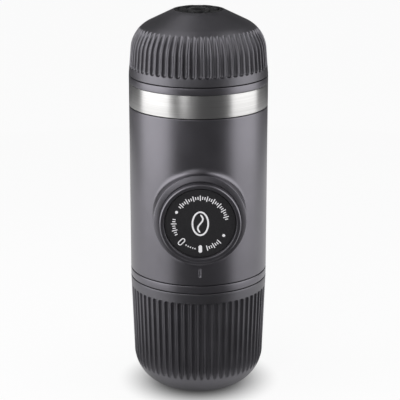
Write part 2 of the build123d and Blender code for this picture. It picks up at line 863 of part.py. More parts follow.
# ============================================================ check balls and springs
def seated(ball, bore):
    """How far a ball's centre lies past the edge of the bore that it closes."""
    return sqrt(ball**2 - bore**2) + ring_play / 2


def coil(plane, radius, wire, length, turns):
    """A round wire swept along a helix that starts at the plane and follows its normal."""
    with BuildPart() as spring:
        with BuildLine(plane) as path:
            Helix(length / turns, length, radius, direction=plane.z_dir)
        with BuildSketch(Plane(origin=path.line @ 0, z_dir=path.line % 0)):
            Circle(wire)
        sweep(path=path.line, is_frenet=True)
    return spring.part


outlet_ball_height = outlet_seat + seated(outlet_ball_radius, valve_seat_bore)
with BuildPart() as outlet_ball:
    with Locations((0, valve_y, outlet_ball_height)):
        Sphere(outlet_ball_radius)
outlet_ball.part.label = "outlet_ball"
export_step(outlet_ball.part, "parts/outlet_ball.step")

outlet_wire = 0.2
outlet_coil = valve_bore - 1.0
outlet_coil_foot = outlet_ball_height + seated(outlet_ball_radius + outlet_wire, outlet_coil)
with BuildPart() as outlet_spring:
    add(
        coil(
            Plane(origin=(0, valve_y, outlet_coil_foot)),
            outlet_coil,
            outlet_wire,
            block_top - outlet_wire - ring_play - outlet_coil_foot,
            5,
        )
    )
outlet_spring.part.label = "outlet_spring"
export_step(outlet_spring.part, "parts/outlet_spring.step")

relief_ball_x = relief_seat + seated(relief_ball_radius, relief_seat_bore)
with BuildPart() as relief_ball:
    with Locations((relief_ball_x, valve_y, relief_height)):
        Sphere(relief_ball_radius)
relief_ball.part.label = "relief_ball"
export_step(relief_ball.part, "parts/relief_ball.step")

relief_wire = 0.15
relief_coil = relief_ball_radius - relief_wire
relief_coil_foot = relief_ball_x + seated(relief_ball_radius + relief_wire, relief_coil)
plug_face = block_half_width - plug_length
with BuildPart() as relief_spring:
    add(
        coil(
            Plane(origin=(relief_coil_foot, valve_y, relief_height), x_dir=(0, 1, 0), z_dir=(1, 0, 0)),
            relief_coil,
            relief_wire,
            plug_face - relief_wire - ring_play - relief_coil_foot,
            3,
        )
    )
relief_spring.part.label = "relief_spring"
export_step(relief_spring.part, "parts/relief_spring.step")

with BuildPart() as relief_plug:
    with BuildSketch(Plane.YZ.offset(plug_face)):
        with Locations(relief_place):
            Circle(relief_bore - ring_play)
            Circle(relief_seat_bore, mode=Mode.SUBTRACT)
    extrude(amount=plug_length)
    with BuildSketch(Plane.YZ.offset(block_half_width - plug_length / 2)):
        with Locations(relief_place):
            Rectangle(2 * relief_bore, 0.6)
    extrude(amount=plug_length, mode=Mode.SUBTRACT)
relief_plug.part.label = "relief_plug"
export_step(relief_plug.part, "parts/relief_plug.step")

# ============================================================ pump knob
# Cup-shaped push button.  Its skirt slides in the boss, two lugs at its tail run in the pockets.
pump_section = Plane(origin=(0, 0, knob_height), x_dir=(1, 0, 0), z_dir=(0, 0, -1))
pump_axis = Axis((0, 0, knob_height), (0, -1, 0))
dial_radius = knob_radius - dial_border
dial_reach = knob_reach - dial_sink
dial_back = dial_reach - dial_thickness
face_back = dial_back - knob_face
rim_width = 1.3
rim_bevel = 0.45
rod_socket_radius = rod_radius + rod_socket_wall
rod_front = face_back - fit_play
rod_screw_radius = 1.5
rod_screw_head = 3.0
rod_screw_length = 8.0

with BuildPart() as pump_knob:
    with BuildSketch(pump_section):
        with BuildLine():
            Polyline(
                (0, face_back),
                (0, dial_back),
                (dial_radius + fit_play, dial_back),
                (dial_radius + fit_play, dial_reach),
                (knob_radius - rim_bevel - rim_width, knob_reach),
                (knob_radius - rim_bevel, knob_reach),
                (knob_radius, knob_reach - rim_bevel),
                (knob_radius, knob_tail),
                (knob_radius - knob_wall, knob_tail),
                (knob_radius - knob_wall, face_back),
                close=True,
            )
        make_face()
    revolve(axis=pump_axis)
    with BuildSketch(across(-face_back)):
        Circle(rod_socket_radius)
    extrude(amount=-rod_socket_depth)
    with BuildSketch(across(-face_back)):
        Circle(rod_radius + ring_play)
    extrude(amount=-rod_socket_depth, mode=Mode.SUBTRACT)
    with BuildSketch(across(-face_back)):
        Circle(rod_screw_radius + fit_play)
    extrude(amount=knob_face, mode=Mode.SUBTRACT)
    with BuildSketch(across(-dial_back)):
        Circle(rod_screw_head + fit_play)
    extrude(amount=-small_head_height, mode=Mode.SUBTRACT)
    with BuildSketch(across(-knob_tail)):
        for side in (0, 180):
            add(ring_sector(knob_radius - knob_wall / 2, lug_radius, side, lug_width))
    extrude(amount=lug_length)
pump_knob.part.label = "pump_knob"
export_step(pump_knob.part, "parts/pump_knob.step")

with BuildPart() as knob_dial:
    with BuildSketch(across(-dial_back)):
        Circle(dial_radius)
    extrude(amount=dial_thickness)
    chamfer(knob_dial.faces().sort_by(Axis.Y)[0].edges(), dial_thickness / 4)
knob_dial.part.label = "knob_dial"
export_step(knob_dial.part, "parts/knob_dial.step")

# Loose washer between the turning knob and its return spring.
seat_face = face_back - fit_play
spring_radius = (cylinder_radius + knob_radius - knob_wall) / 2
with BuildPart() as spring_seat:
    with BuildSketch(across(seat_thickness - seat_face)):
        add(ring(spring_radius - 2 * spring_wire, spring_radius + 2 * spring_wire))
    extrude(amount=seat_thickness)
spring_seat.part.label = "spring_seat"
export_step(spring_seat.part, "parts/spring_seat.step")

spring_start = back_face + spring_wire + ring_play
spring_end = seat_face - seat_thickness - spring_wire - ring_play
with BuildPart() as return_spring:
    add(
        coil(
            Plane(origin=(0, -spring_start, knob_height), x_dir=(1, 0, 0), z_dir=(0, -1, 0)),
            spring_radius,
            spring_wire,
            spring_end - spring_start,
            spring_turns,
        )
    )
return_spring.part.label = "return_spring"
export_step(return_spring.part, "parts/return_spring.step")

# ============================================================ piston
# Steel rod held in the knob by a screw, with a head and two rubber rings in the cylinder.
piston_back = chamber_depth - piston_end_gap
piston_front = piston_back - piston_length
piston_radius = cylinder_bore - piston_play
rod_spigot = rod_radius - 1.8
spigot_back = piston_back - 1.5
piston_ring_wire = 0.85
ring_centre = cylinder_bore - ring_play - piston_ring_wire
piston_middle = (piston_front + piston_back) / 2
ring_places = (piston_middle - piston_length / 4, piston_middle + piston_length / 4)

with BuildPart() as piston_rod:
    with BuildSketch(across(piston_front)):
        Circle(rod_radius)
    extrude(amount=piston_front + rod_front)
    with BuildSketch(across(spigot_back)):
        Circle(rod_spigot)
    extrude(amount=spigot_back - piston_front)
    with BuildSketch(across(-rod_front)):
        Circle(rod_screw_radius)
    extrude(amount=-rod_screw_length - 1, mode=Mode.SUBTRACT)
piston_rod.part.label = "piston_rod"
export_step(piston_rod.part, "parts/piston_rod.step")

with BuildPart() as piston_head:
    with BuildSketch(across(piston_back)):
        Circle(piston_radius)
    extrude(amount=piston_length)
    chamfer(piston_head.edges().filter_by(GeomType.CIRCLE), piston_play)
    with BuildSketch(across(spigot_back + fit_play)):
        Circle(rod_spigot + ring_play)
    extrude(amount=piston_length, mode=Mode.SUBTRACT)
    for y in ring_places:
        with BuildSketch(across(y + piston_ring_wire + ring_play)):
            add(ring(ring_centre - piston_ring_wire - ring_play, cylinder_bore))
        extrude(amount=2 * piston_ring_wire + 2 * ring_play, mode=Mode.SUBTRACT)
piston_head.part.label = "piston_head"
export_step(piston_head.part, "parts/piston_head.step")

with BuildPart() as piston_rings:
    for y in ring_places:
        with Locations(Location((0, y, knob_height), (90, 0, 0))):
            Torus(ring_centre, piston_ring_wire)
piston_rings.part.label = "piston_rings"
export_step(piston_rings.part, "parts/piston_rings.step")

knob_screw = pan_screw(
    rod_screw_head, small_head_height, rod_screw_radius - ring_play, rod_screw_length
)
with BuildPart() as rod_screw:
    add(knob_screw.moved(Location((0, -dial_back, knob_height), (90, 0, 0))))
rod_screw.part.label = "rod_screw"
export_step(rod_screw.part, "parts/rod_screw.step")

# ============================================================ capsule adapter
# Threaded ring between the casing and the outlet head, with a deep chamber for the capsule.
adapter_neck_top = shoulder_top + neck_height
chamber_outer = neck_bore - chamber_clearance
chamber_bore = chamber_outer - chamber_wall
chamber_bottom = brew_floor_top + shower_thickness + chamber_gap
chamber_floor_top = chamber_bottom + chamber_floor
socket_top = brew_neck_end + neck_end_gap
rim_bore = chamber_outer + fit_play
rim_ledge = adapter_neck_top - rim_depth
relief_outer = neck_radius - web
inlet_hole = chamber_bore - plate_ledge
chamber_ring_wire = 0.8
chamber_ring_radius = neck_bore - chamber_ring_wire - ring_play
chamber_ring_height = chamber_bottom + chamber_ring_rise

with BuildPart() as adapter_body:
    with BuildSketch(Plane.XY.offset(adapter_bottom)):
        Circle(body_radius - band_thickness - fit_play)
    extrude(amount=band_height)
    with BuildSketch(Plane.XY.offset(band_top)):
        Circle(body_radius)
    extrude(amount=shoulder_height)
    shoulder_edges = adapter_body.edges().filter_by(GeomType.CIRCLE).filter_by(
        lambda edge: abs(edge.radius - body_radius) < edge_chamfer
    )
    chamfer(shoulder_edges, edge_chamfer)
    with BuildSketch(Plane.XY.offset(shoulder_top)):
        Circle(neck_radius)
    extrude(amount=neck_height)
    with BuildSketch(Plane.XY.offset(adapter_bottom)):
        Circle(skirt_bore)
    extrude(amount=socket_top - adapter_bottom, mode=Mode.SUBTRACT)
    with BuildSketch(Plane.XY.offset(chamber_bottom)):
        Circle(chamber_outer)
    extrude(amount=adapter_neck_top - chamber_bottom)
    with BuildSketch(Plane.XY.offset(socket_top)):
        add(ring(chamber_outer, relief_outer))
    extrude(amount=rim_ledge - ledge - socket_top, mode=Mode.SUBTRACT)
    for one_ridge in female_ridges(casing_top) + male_ridges(shoulder_top):
        add(one_ridge)
    with BuildSketch(Plane.XY.offset(adapter_bottom)):
        add(ring(gasket_inner - fit_play, gasket_outer + fit_play))
    extrude(amount=gasket_depth, mode=Mode.SUBTRACT)
    with BuildSketch(Plane.XY.offset(chamber_floor_top)):
        Circle(chamber_bore)
    extrude(amount=adapter_neck_top - chamber_floor_top, mode=Mode.SUBTRACT)
    with BuildSketch(Plane.XY.offset(rim_ledge)):
        Circle(rim_bore)
    extrude(amount=rim_depth, mode=Mode.SUBTRACT)
    with BuildSketch(Plane.XY.offset(chamber_bottom)):
        Circle(inlet_hole)
    extrude(amount=chamber_floor, mode=Mode.SUBTRACT)
    with Locations((0, 0, chamber_ring_height)):
        Torus(chamber_ring_radius, chamber_ring_wire + ring_play, mode=Mode.SUBTRACT)
adapter_body.part.label = "adapter_body"
export_step(adapter_body.part, "parts/adapter_body.step")

with BuildPart() as adapter_band:
    with BuildSketch(Plane.XY.offset(adapter_bottom + ring_play)):
        add(ring(body_radius - band_thickness, body_radius))
    extrude(amount=band_height - 2 * ring_play)
    band_edges = adapter_band.edges().filter_by(GeomType.CIRCLE).filter_by(
        lambda edge: abs(edge.radius - body_radius) < ring_play
    )
    chamfer(band_edges, band_thickness / 3)
adapter_band.part.label = "adapter_band"
export_step(adapter_band.part, "parts/adapter_band.step")

with BuildPart() as adapter_gasket:
    with BuildSketch(Plane.XY.offset(casing_top + fit_play)):
        add(ring(gasket_inner, gasket_outer))
    extrude(amount=gasket_height)
adapter_gasket.part.label = "adapter_gasket"
export_step(adapter_gasket.part, "parts/adapter_gasket.step")

with BuildPart() as chamber_ring:
    with Locations((0, 0, chamber_ring_height)):
        Torus(chamber_ring_radius, chamber_ring_wire)
chamber_ring.part.label = "chamber_ring"
export_step(chamber_ring.part, "parts/chamber_ring.step")

# Steel disc with hollow-ground needles that open the capsule's base.
plate_top = chamber_floor_top + plate_thickness
with BuildPart() as piercing_plate:
    with BuildSketch(Plane.XY.offset(chamber_floor_top)):
        Circle(chamber_bore - seam)
        with PolarLocations(needle_circle, needle_count, start_angle=60):
            Circle(0.9, mode=Mode.SUBTRACT)
        with PolarLocations(needle_circle / 2, needle_count):
            Circle(0.9, mode=Mode.SUBTRACT)
    extrude(amount=plate_thickness)
    with PolarLocations(needle_circle, needle_count):
        with Locations((0, 0, plate_top)):
            Cone(1.3, 0.15, needle_height, align=UP)
piercing_plate.part.label = "piercing_plate"
export_step(piercing_plate.part, "parts/piercing_plate.step")

# Tapered cup that centres the capsule.  Its rim lies on the adapter's ledge.
holder_bottom = plate_top + holder_gap
holder_top = rim_ledge + fit_play
holder_top_bore = chamber_bore - holder_play - holder_wall
holder_bottom_bore = holder_top_bore - holder_taper
with BuildPart() as capsule_holder:
    with BuildSketch(Plane.XZ):
        with BuildLine():
            Polyline(
                (holder_bottom_bore, holder_bottom),
                (holder_bottom_bore + holder_wall, holder_bottom),
                (holder_top_bore + holder_wall, holder_top),
                (rim_bore - 2 * fit_play, holder_top),
                (rim_bore - 2 * fit_play, holder_top + holder_rim),
                (holder_top_bore, holder_top + holder_rim),
                close=True,
            )
        make_face()
    revolve(axis=Axis.Z)
capsule_holder.part.label = "capsule_holder"
export_step(capsule_holder.part, "parts/capsule_holder.step")

# ============================================================ outlet head
# Ribbed dome that screws onto the adapter.  The coffee leaves through the spout in its top.
head_side_top = head_bottom + head_side_height
head_side_radius = body_radius - head_taper_run
head_lean = atan2(head_taper_run, head_side_height)
head_turn_end = radians(90 - head_cone_angle)


def head_shape(inset, bottom, top_radius):
    """Half section of the dome, inset by a wall: leaning side, round corner and cone."""
    corner = head_corner_radius - inset
    centre_x = head_side_radius - head_corner_radius * cos(head_lean)
    centre_z = head_side_top - head_corner_radius * sin(head_lean)

    def on_corner(angle):
        return (centre_x + corner * cos(angle), centre_z + corner * sin(angle))

    side_top = on_corner(head_lean)
    cone_foot = on_corner(head_turn_end)
    side_foot = (side_top[0] + (side_top[1] - bottom) * tan(head_lean), bottom)
    cone_rise = (cone_foot[0] - top_radius) * tan(radians(head_cone_angle))
    cone_top = (top_radius, cone_foot[1] + cone_rise)
    with BuildSketch() as half:
        with BuildLine():
            Line((0, bottom), side_foot)
            Line(side_foot, side_top)
            ThreePointArc(side_top, on_corner((head_lean + head_turn_end) / 2), cone_foot)
            Line(cone_foot, cone_top)
            Line(cone_top, (0, cone_top[1]))
            Line((0, cone_top[1]), (0, bottom))
        make_face()
    return half.sketch


def head_point(offset, angle):
    """Point on the round corner, moved outwards by offset, at an angle above horizontal."""
    reach = head_corner_radius + offset
    return (
        head_side_radius - head_corner_radius * cos(head_lean) + reach * cos(angle),
        head_side_top - head_corner_radius * sin(head_lean) + reach * sin(angle),
    )


head_top = head_shape(0, head_bottom, head_top_radius).bounding_box().max.Y
spout_radius = head_top_radius - 0.6
spout_neck = spout_radius - spout_wall
extraction_bottom = adapter_neck_top + holder_rim
extraction_radius = rim_bore - fit_play
extraction_top = extraction_bottom + extraction_thickness
flange_bottom = extraction_top - funnel_wall / 2
flange_top = flange_bottom + funnel_wall
screw_circle = skirt_bore - 2.2
screw_boss = 2.0
head_cavity_bottom = adapter_neck_top + neck_end_gap

# The ball-nosed groove between two ribs: up the side, round the corner, then straight off it.
groove_offset = groove_radius - head_groove_depth
groove_foot_height = head_bottom + head_groove_margin + groove_radius
groove_last = head_lean + radians(head_groove_turn)
groove_bend = head_point(groove_offset, head_lean)
groove_leave = head_point(groove_offset, groove_last)
groove_rise = groove_bend[1] - groove_foot_height
groove_foot = (groove_bend[0] + groove_rise * tan(head_lean), groove_foot_height)
groove_runout = head_corner_radius * 0.7
groove_end = (
    groove_leave[0] - groove_runout * sin(groove_last),
    groove_leave[1] + groove_runout * cos(groove_last),
)
with BuildPart() as head_groove:
    with BuildLine(Plane.XZ) as groove_path:
        Line(groove_foot, groove_bend)
        ThreePointArc(
            groove_bend,
            head_point(groove_offset, (head_lean + groove_last) / 2),
            groove_leave,
        )
        Line(groove_leave, groove_end)
    with BuildSketch(Plane(origin=groove_path.line @ 0, z_dir=groove_path.line % 0)):
        Circle(groove_radius)
    sweep(path=groove_path.line)
    with Locations(groove_path.line @ 0):
        Sphere(groove_radius)

with BuildPart() as head_hollow:
    with BuildSketch(Plane.XZ):
        add(head_shape(head_wall, head_cavity_bottom, spout_neck))
    revolve(axis=Axis.Z)
    with BuildSketch(Plane.XY.offset(flange_top)):
        with PolarLocations(screw_circle, boss_screw_count):
            Circle(screw_boss)
    extrude(amount=head_corner_radius, mode=Mode.SUBTRACT)

with BuildPart() as outlet_head:
    with BuildSketch(Plane.XZ):
        add(head_shape(0, head_bottom, head_top_radius))
    revolve(axis=Axis.Z)
    rim_edge = outlet_head.edges().filter_by(GeomType.CIRCLE).group_by(Axis.Z)[0]
    chamfer(rim_edge, edge_chamfer)
    add(head_hollow.part, mode=Mode.SUBTRACT)
    with BuildSketch(Plane.XY.offset(head_bottom)):
        Circle(skirt_bore)
    extrude(amount=head_cavity_bottom - head_bottom, mode=Mode.SUBTRACT)
    with BuildSketch(Plane.XY.offset(head_top)):
        Circle(spout_radius + fit_play)
    extrude(amount=-spout_sink, mode=Mode.SUBTRACT)
    with BuildSketch(Plane.XY.offset(head_top)):
        Circle(spout_neck + fit_play)
    extrude(amount=-3 * head_wall, mode=Mode.SUBTRACT)
    with BuildSketch(Plane.XY.offset(flange_top)):
        with PolarLocations(screw_circle, boss_screw_count):
            Circle(small_screw)
    extrude(amount=screw_bite + 2 * fit_play, mode=Mode.SUBTRACT)
    for one_ridge in female_ridges(shoulder_top):
        add(one_ridge)
    with PolarLocations(0, rib_count):
        add(head_groove.part, mode=Mode.SUBTRACT)
outlet_head.part.label = "outlet_head"
export_step(outlet_head.part, "parts/outlet_head.step")

# Plate with rows of small pyramids that burst the capsule's foil, and drain holes between them.
seal_outer = extraction_radius - fit_play
seal_inner = seal_outer - head_seal_width
pyramid_pitch = sqrt(2) * (seal_inner - pyramid_margin) / (pyramid_rows - 0.5)
with BuildPart() as extraction_plate:
    with BuildSketch(Plane.XY.offset(extraction_bottom)):
        Circle(extraction_radius)
    extrude(amount=extraction_thickness)
    with BuildSketch(Plane.XY.offset(extraction_bottom)):
        with GridLocations(pyramid_pitch, pyramid_pitch, pyramid_rows, pyramid_rows):
            Rectangle(pyramid_pitch / 2, pyramid_pitch / 2)
    extrude(amount=-pyramid_height, taper=30)
    with BuildSketch(Plane.XY.offset(extraction_bottom)):
        with GridLocations(pyramid_pitch, pyramid_pitch, pyramid_rows - 1, pyramid_rows - 1):
            Circle(0.6)
    extrude(amount=extraction_thickness, mode=Mode.SUBTRACT)
extraction_plate.part.label = "extraction_plate"
export_step(extraction_plate.part, "parts/extraction_plate.step")

# Soft ring between the extraction plate and the capsule's rim.
with BuildPart() as head_seal:
    with BuildSketch(Plane.XY.offset(extraction_bottom)):
        add(ring(seal_inner, seal_outer))
    extrude(amount=-head_seal_wire)
    fillet(head_seal.faces().sort_by(Axis.Z)[0].edges(), head_seal_wire / 3)
head_seal.part.label = "head_seal"
export_step(head_seal.part, "parts/head_seal.step")

# Funnel above the plate.  Its flange is screwed up to the dome's bosses.
spout_bottom = head_top - spout_sink - 2.4
tube_top = spout_bottom + 1.2
cone_top = tube_top - 2.4
tube_bore = funnel_tube - funnel_wall
funnel_bore = extraction_radius + fit_play
with BuildPart() as head_funnel:
    with BuildSketch(Plane.XZ):
        with BuildLine():
            Polyline(
                (funnel_bore, extraction_bottom + ring_play),
                (funnel_bore + funnel_wall, extraction_bottom + ring_play),
                (funnel_bore + funnel_wall, flange_bottom),
                (skirt_bore - seam, flange_bottom),
                (skirt_bore - seam, flange_top),
                (funnel_bore + funnel_wall / 2, flange_top),
                (funnel_tube, cone_top),
                (funnel_tube, tube_top),
                (tube_bore, tube_top),
                (tube_bore, cone_top - funnel_wall / 2),
                (funnel_bore - 2 * funnel_wall, extraction_top + ring_play),
                (funnel_bore, extraction_top + ring_play),
                close=True,
            )
        make_face()
    revolve(axis=Axis.Z)
    with BuildSketch(Plane.XY.offset(flange_bottom)):
        with PolarLocations(screw_circle, boss_screw_count):
            Circle(small_screw + fit_play)
    extrude(amount=funnel_wall, mode=Mode.SUBTRACT)
head_funnel.part.label = "head_funnel"
export_step(head_funnel.part, "parts/head_funnel.step")

funnel_screw = pan_screw(small_head, small_head_height, small_screw - 0.05, funnel_wall + screw_bite)
with BuildPart() as head_screws:
    for k in range(boss_screw_count):
        turn = radians(360 * k / boss_screw_count)
        place = (
            screw_circle * cos(turn),
            screw_circle * sin(turn),
            flange_bottom - small_head_height,
        )
        add(funnel_screw.moved(Location(place, (180, 0, 0))))
head_screws.part.label = "head_screws"
export_step(head_screws.part, "parts/head_screws.step")

# Black spout pressed into the top: a notched rim, radial fins and a nozzle in the middle.
spout_top = head_top - spout_sink + spout_flange
nozzle_radius = funnel_tube + fit_play + 1.0
dish_depth = 1.0
fin_width = 0.9
with BuildPart() as spout_insert:
    with BuildSketch(Plane.XY.offset(head_top - spout_sink)):
        Circle(spout_radius)
    extrude(amount=spout_flange)
    chamfer(spout_insert.edges().filter_by(GeomType.CIRCLE).group_by(Axis.Z)[-1], 0.25)
    with BuildSketch(Plane.XY.offset(head_top - spout_sink)):
        Circle(spout_neck)
    extrude(amount=spout_bottom - head_top + spout_sink)
    with BuildSketch(Plane.XY.offset(spout_top)):
        add(ring(nozzle_radius, spout_radius - 1.2))
    extrude(amount=-dish_depth, mode=Mode.SUBTRACT)
    with BuildSketch(Plane.XY.offset(spout_top - dish_depth)):
        with PolarLocations((nozzle_radius + spout_radius - 1.2) / 2, vent_count):
            Rectangle(spout_radius - nozzle_radius, fin_width)
    extrude(amount=dish_depth * 0.6)
    with BuildSketch(Plane.XY.offset(spout_bottom)):
        Circle(funnel_tube + fit_play)
    extrude(amount=tube_top + fit_play - spout_bottom, mode=Mode.SUBTRACT)
    with BuildSketch(Plane.XY.offset(spout_bottom)):
        Circle(tube_bore)
    extrude(amount=spout_top - spout_bottom, mode=Mode.SUBTRACT)
spout_insert.part.label = "spout_insert"
export_step(spout_insert.part, "parts/spout_insert.step")
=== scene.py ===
"""Looks of a handheld manual espresso maker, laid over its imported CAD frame.

Metres, +Z up, the pump knob towards -Y.  The sections follow the machine as it is put
together, and each one holds a piece or a group of like pieces.
"""

import bmesh
import bpy
import numpy as np
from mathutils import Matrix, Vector


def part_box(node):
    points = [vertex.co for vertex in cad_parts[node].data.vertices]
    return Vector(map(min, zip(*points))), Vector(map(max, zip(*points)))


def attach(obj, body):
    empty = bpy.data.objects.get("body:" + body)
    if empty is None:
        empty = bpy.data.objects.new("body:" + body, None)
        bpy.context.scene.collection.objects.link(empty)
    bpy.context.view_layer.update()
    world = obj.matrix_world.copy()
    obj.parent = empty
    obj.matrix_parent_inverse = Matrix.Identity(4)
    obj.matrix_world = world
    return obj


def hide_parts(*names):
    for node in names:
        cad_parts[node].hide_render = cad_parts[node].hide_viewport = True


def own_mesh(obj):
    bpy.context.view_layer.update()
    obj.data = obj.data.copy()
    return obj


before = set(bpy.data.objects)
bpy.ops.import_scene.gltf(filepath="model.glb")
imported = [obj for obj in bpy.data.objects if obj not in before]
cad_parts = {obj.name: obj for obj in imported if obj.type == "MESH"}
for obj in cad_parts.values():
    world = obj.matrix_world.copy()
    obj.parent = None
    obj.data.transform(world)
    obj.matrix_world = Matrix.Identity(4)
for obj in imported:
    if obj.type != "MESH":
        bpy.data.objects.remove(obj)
scene = bpy.context.scene
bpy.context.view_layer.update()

# ---------- inner frame
# Two round bulkheads, the pump's sleeve and the valve block, moulded in glass-filled nylon.
# Its glass fibres leave pale flecks and a dull, slightly rough skin.


def new_material(name):
    """An empty material: itself, its nodes, its shader and its Object coordinates."""
    material = bpy.data.materials.new(name)
    material.use_nodes = True
    tree = material.node_tree
    place = tree.nodes.new("ShaderNodeTexCoord").outputs["Object"]
    return material, tree, tree.nodes["Principled BSDF"], place


def add(tree, kind, settings, **modes):
    """A shader node's outputs.  Each setting is a constant or another node's output."""
    node = tree.nodes.new("ShaderNode" + kind)
    for mode, value in modes.items():
        setattr(node, mode, value)
    for socket, value in settings.items():
        if isinstance(value, bpy.types.NodeSocket):
            tree.links.new(value, node.inputs[socket])
        else:
            node.inputs[socket].default_value = value
    return node.outputs


def noise(tree, place, waves, stretch=(1, 1, 1), detail=3):
    """Noise with so many waves to the metre, each axis multiplied by its stretch."""
    at = add(tree, "Mapping", {"Scale": stretch, "Vector": place})["Vector"]
    return add(tree, "TexNoise", {"Scale": waves, "Detail": detail, "Vector": at})["Fac"]


def shade(tree, pattern, dark, light, target, low=0.35, high=0.65):
    """Colour that runs from dark to light while the pattern runs from low to high."""
    ramp = tree.nodes.new("ShaderNodeValToRGB")
    for stop, position, colour in zip(ramp.color_ramp.elements, (low, high), (dark, light)):
        stop.position, stop.color = position, (*colour, 1)
    tree.links.new(pattern, ramp.inputs["Fac"])
    tree.links.new(ramp.outputs["Color"], target)


def spread(tree, pattern, least, most, target):
    """A number that runs from least to most over the pattern's middle range."""
    span = {"From Min": 0.3, "From Max": 0.7, "To Min": least, "To Max": most, "Value": pattern}
    tree.links.new(add(tree, "MapRange", span)["Result"], target)


def relief(tree, pattern, depth, shader):
    """The pattern as relief of a depth in metres."""
    bump = add(tree, "Bump", {"Distance": depth, "Height": pattern})
    tree.links.new(bump["Normal"], shader.inputs["Normal"])


def moulded(name, dark, light, gloss, grain, depth):
    """Moulded plastic: a fine even grain in colour and relief, a slow drift in its gloss."""
    material, tree, shader, place = new_material(name)
    speckle = noise(tree, place, grain, detail=2)
    shade(tree, speckle, dark, light, shader.inputs["Base Color"])
    spread(tree, noise(tree, place, 90), gloss[0], gloss[1], shader.inputs["Roughness"])
    relief(tree, speckle, depth, shader)
    return material


def dress(material, *nodes):
    """Give carried-over CAD nodes a finish."""
    for node in nodes:
        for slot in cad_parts[node].material_slots:
            slot.material = material


nylon = moulded("nylon", (0.018, 0.018, 0.019), (0.05, 0.05, 0.052), (0.45, 0.6), 2600, 4e-6)
dress(nylon, "chassis_base", "brew_head", "pump_housing", "valve_block", "relief_plug")
dress(nylon, "inlet_strainer", "inlet_pipe", "outlet_pipe")

# ---------- screws and posts
# Small pan-head screws of zinc-plated steel and two turned posts.  The plating is pale and
# bluish, a little cloudy, with fine turning marks.


def drawn_steel(name, dark, light, gloss, waves, stretch, depth, detail=4):
    """Metal worked in one direction: noise stretched into lines, in colour, gloss and relief."""
    material, tree, shader, place = new_material(name)
    lines = noise(tree, place, waves, stretch, detail)
    shade(tree, lines, dark, light, shader.inputs["Base Color"])
    spread(tree, lines, gloss[0], gloss[1], shader.inputs["Roughness"])
    relief(tree, lines, depth, shader)
    shader.inputs["Metallic"].default_value = 1
    return material


zinc = drawn_steel(
    "zinc_plate", (0.5, 0.51, 0.53), (0.68, 0.69, 0.7), (0.25, 0.42), 900, (1, 1, 3), 2e-6
)
dress(zinc, "housing_screws", "rear_posts", "post_screws", "cylinder_screws", "block_screws")
dress(zinc, "rod_screw", "head_screws")

# ---------- springs, balls and discs
# Springs of drawn stainless wire, polished check balls, and discs pressed from thin
# stainless sheet.
stainless = drawn_steel(
    "stainless", (0.52, 0.51, 0.5), (0.66, 0.65, 0.63), (0.16, 0.3), 700, (1, 1, 5), 1e-6
)
dress(stainless, "return_spring", "outlet_ball", "relief_ball", "spring_seat", "piston_rod")
dress(stainless, "shower_disc", "piercing_plate", "extraction_plate")


def patch(points, around=False):
    """Vertices, square faces and face UVs of a grid of points (rows, columns, 3).

    Rows run up a profile and columns run round it; `around` joins the last column to the
    first.  U is the share of the way round and V the share of the way up.
    """
    rows, columns = points.shape[:2]
    row = np.arange(rows - 1)[:, None]
    column = np.arange(columns if around else columns - 1)[None, :]
    step_row = np.array([0, 0, 1, 1])
    step_column = np.array([0, 1, 1, 0])
    corner_row = row[..., None] + step_row
    corner_column = column[..., None] + step_column
    faces = corner_row * columns + corner_column % columns
    across = columns if around else columns - 1
    uv = np.stack(np.broadcast_arrays(corner_column / across, corner_row / (rows - 1)), -1)
    return points.reshape(-1, 3), faces.reshape(-1, 4), uv.reshape(-1, 2)


weld_distance, thin_edge, crease_degrees = 2e-6, 1e-7, 32


def piece(name, patches, material, body, slot, *nodes):
    """One welded mesh of patches, smooth but for its creases, in the place of CAD nodes."""
    starts = np.cumsum([0] + [len(part[0]) for part in patches[:-1]])
    points = np.concatenate([part[0] for part in patches])
    faces = np.concatenate([part[1] + start for part, start in zip(patches, starts)])
    uv = np.concatenate([part[2] for part in patches])
    mesh = bpy.data.meshes.new(name)
    mesh.from_pydata(points.tolist(), [], faces.tolist())
    mesh.uv_layers.new(name="surface").data.foreach_set("uv", uv.astype(np.float32).ravel())
    welded = bmesh.new()
    welded.from_mesh(mesh)
    bmesh.ops.remove_doubles(welded, verts=welded.verts, dist=weld_distance)
    bmesh.ops.dissolve_degenerate(welded, edges=welded.edges, dist=thin_edge)
    welded.to_mesh(mesh)
    welded.free()
    mesh.shade_smooth()
    mesh.set_sharp_from_angle(angle=np.radians(crease_degrees))
    mesh.materials.append(material)
    made = bpy.data.objects.new(name, mesh)
    scene.collection.objects.link(made)
    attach(made, body)
    if nodes:
        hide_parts(*nodes)
    return made


steps_a_turn, wire_sides = 24, 12


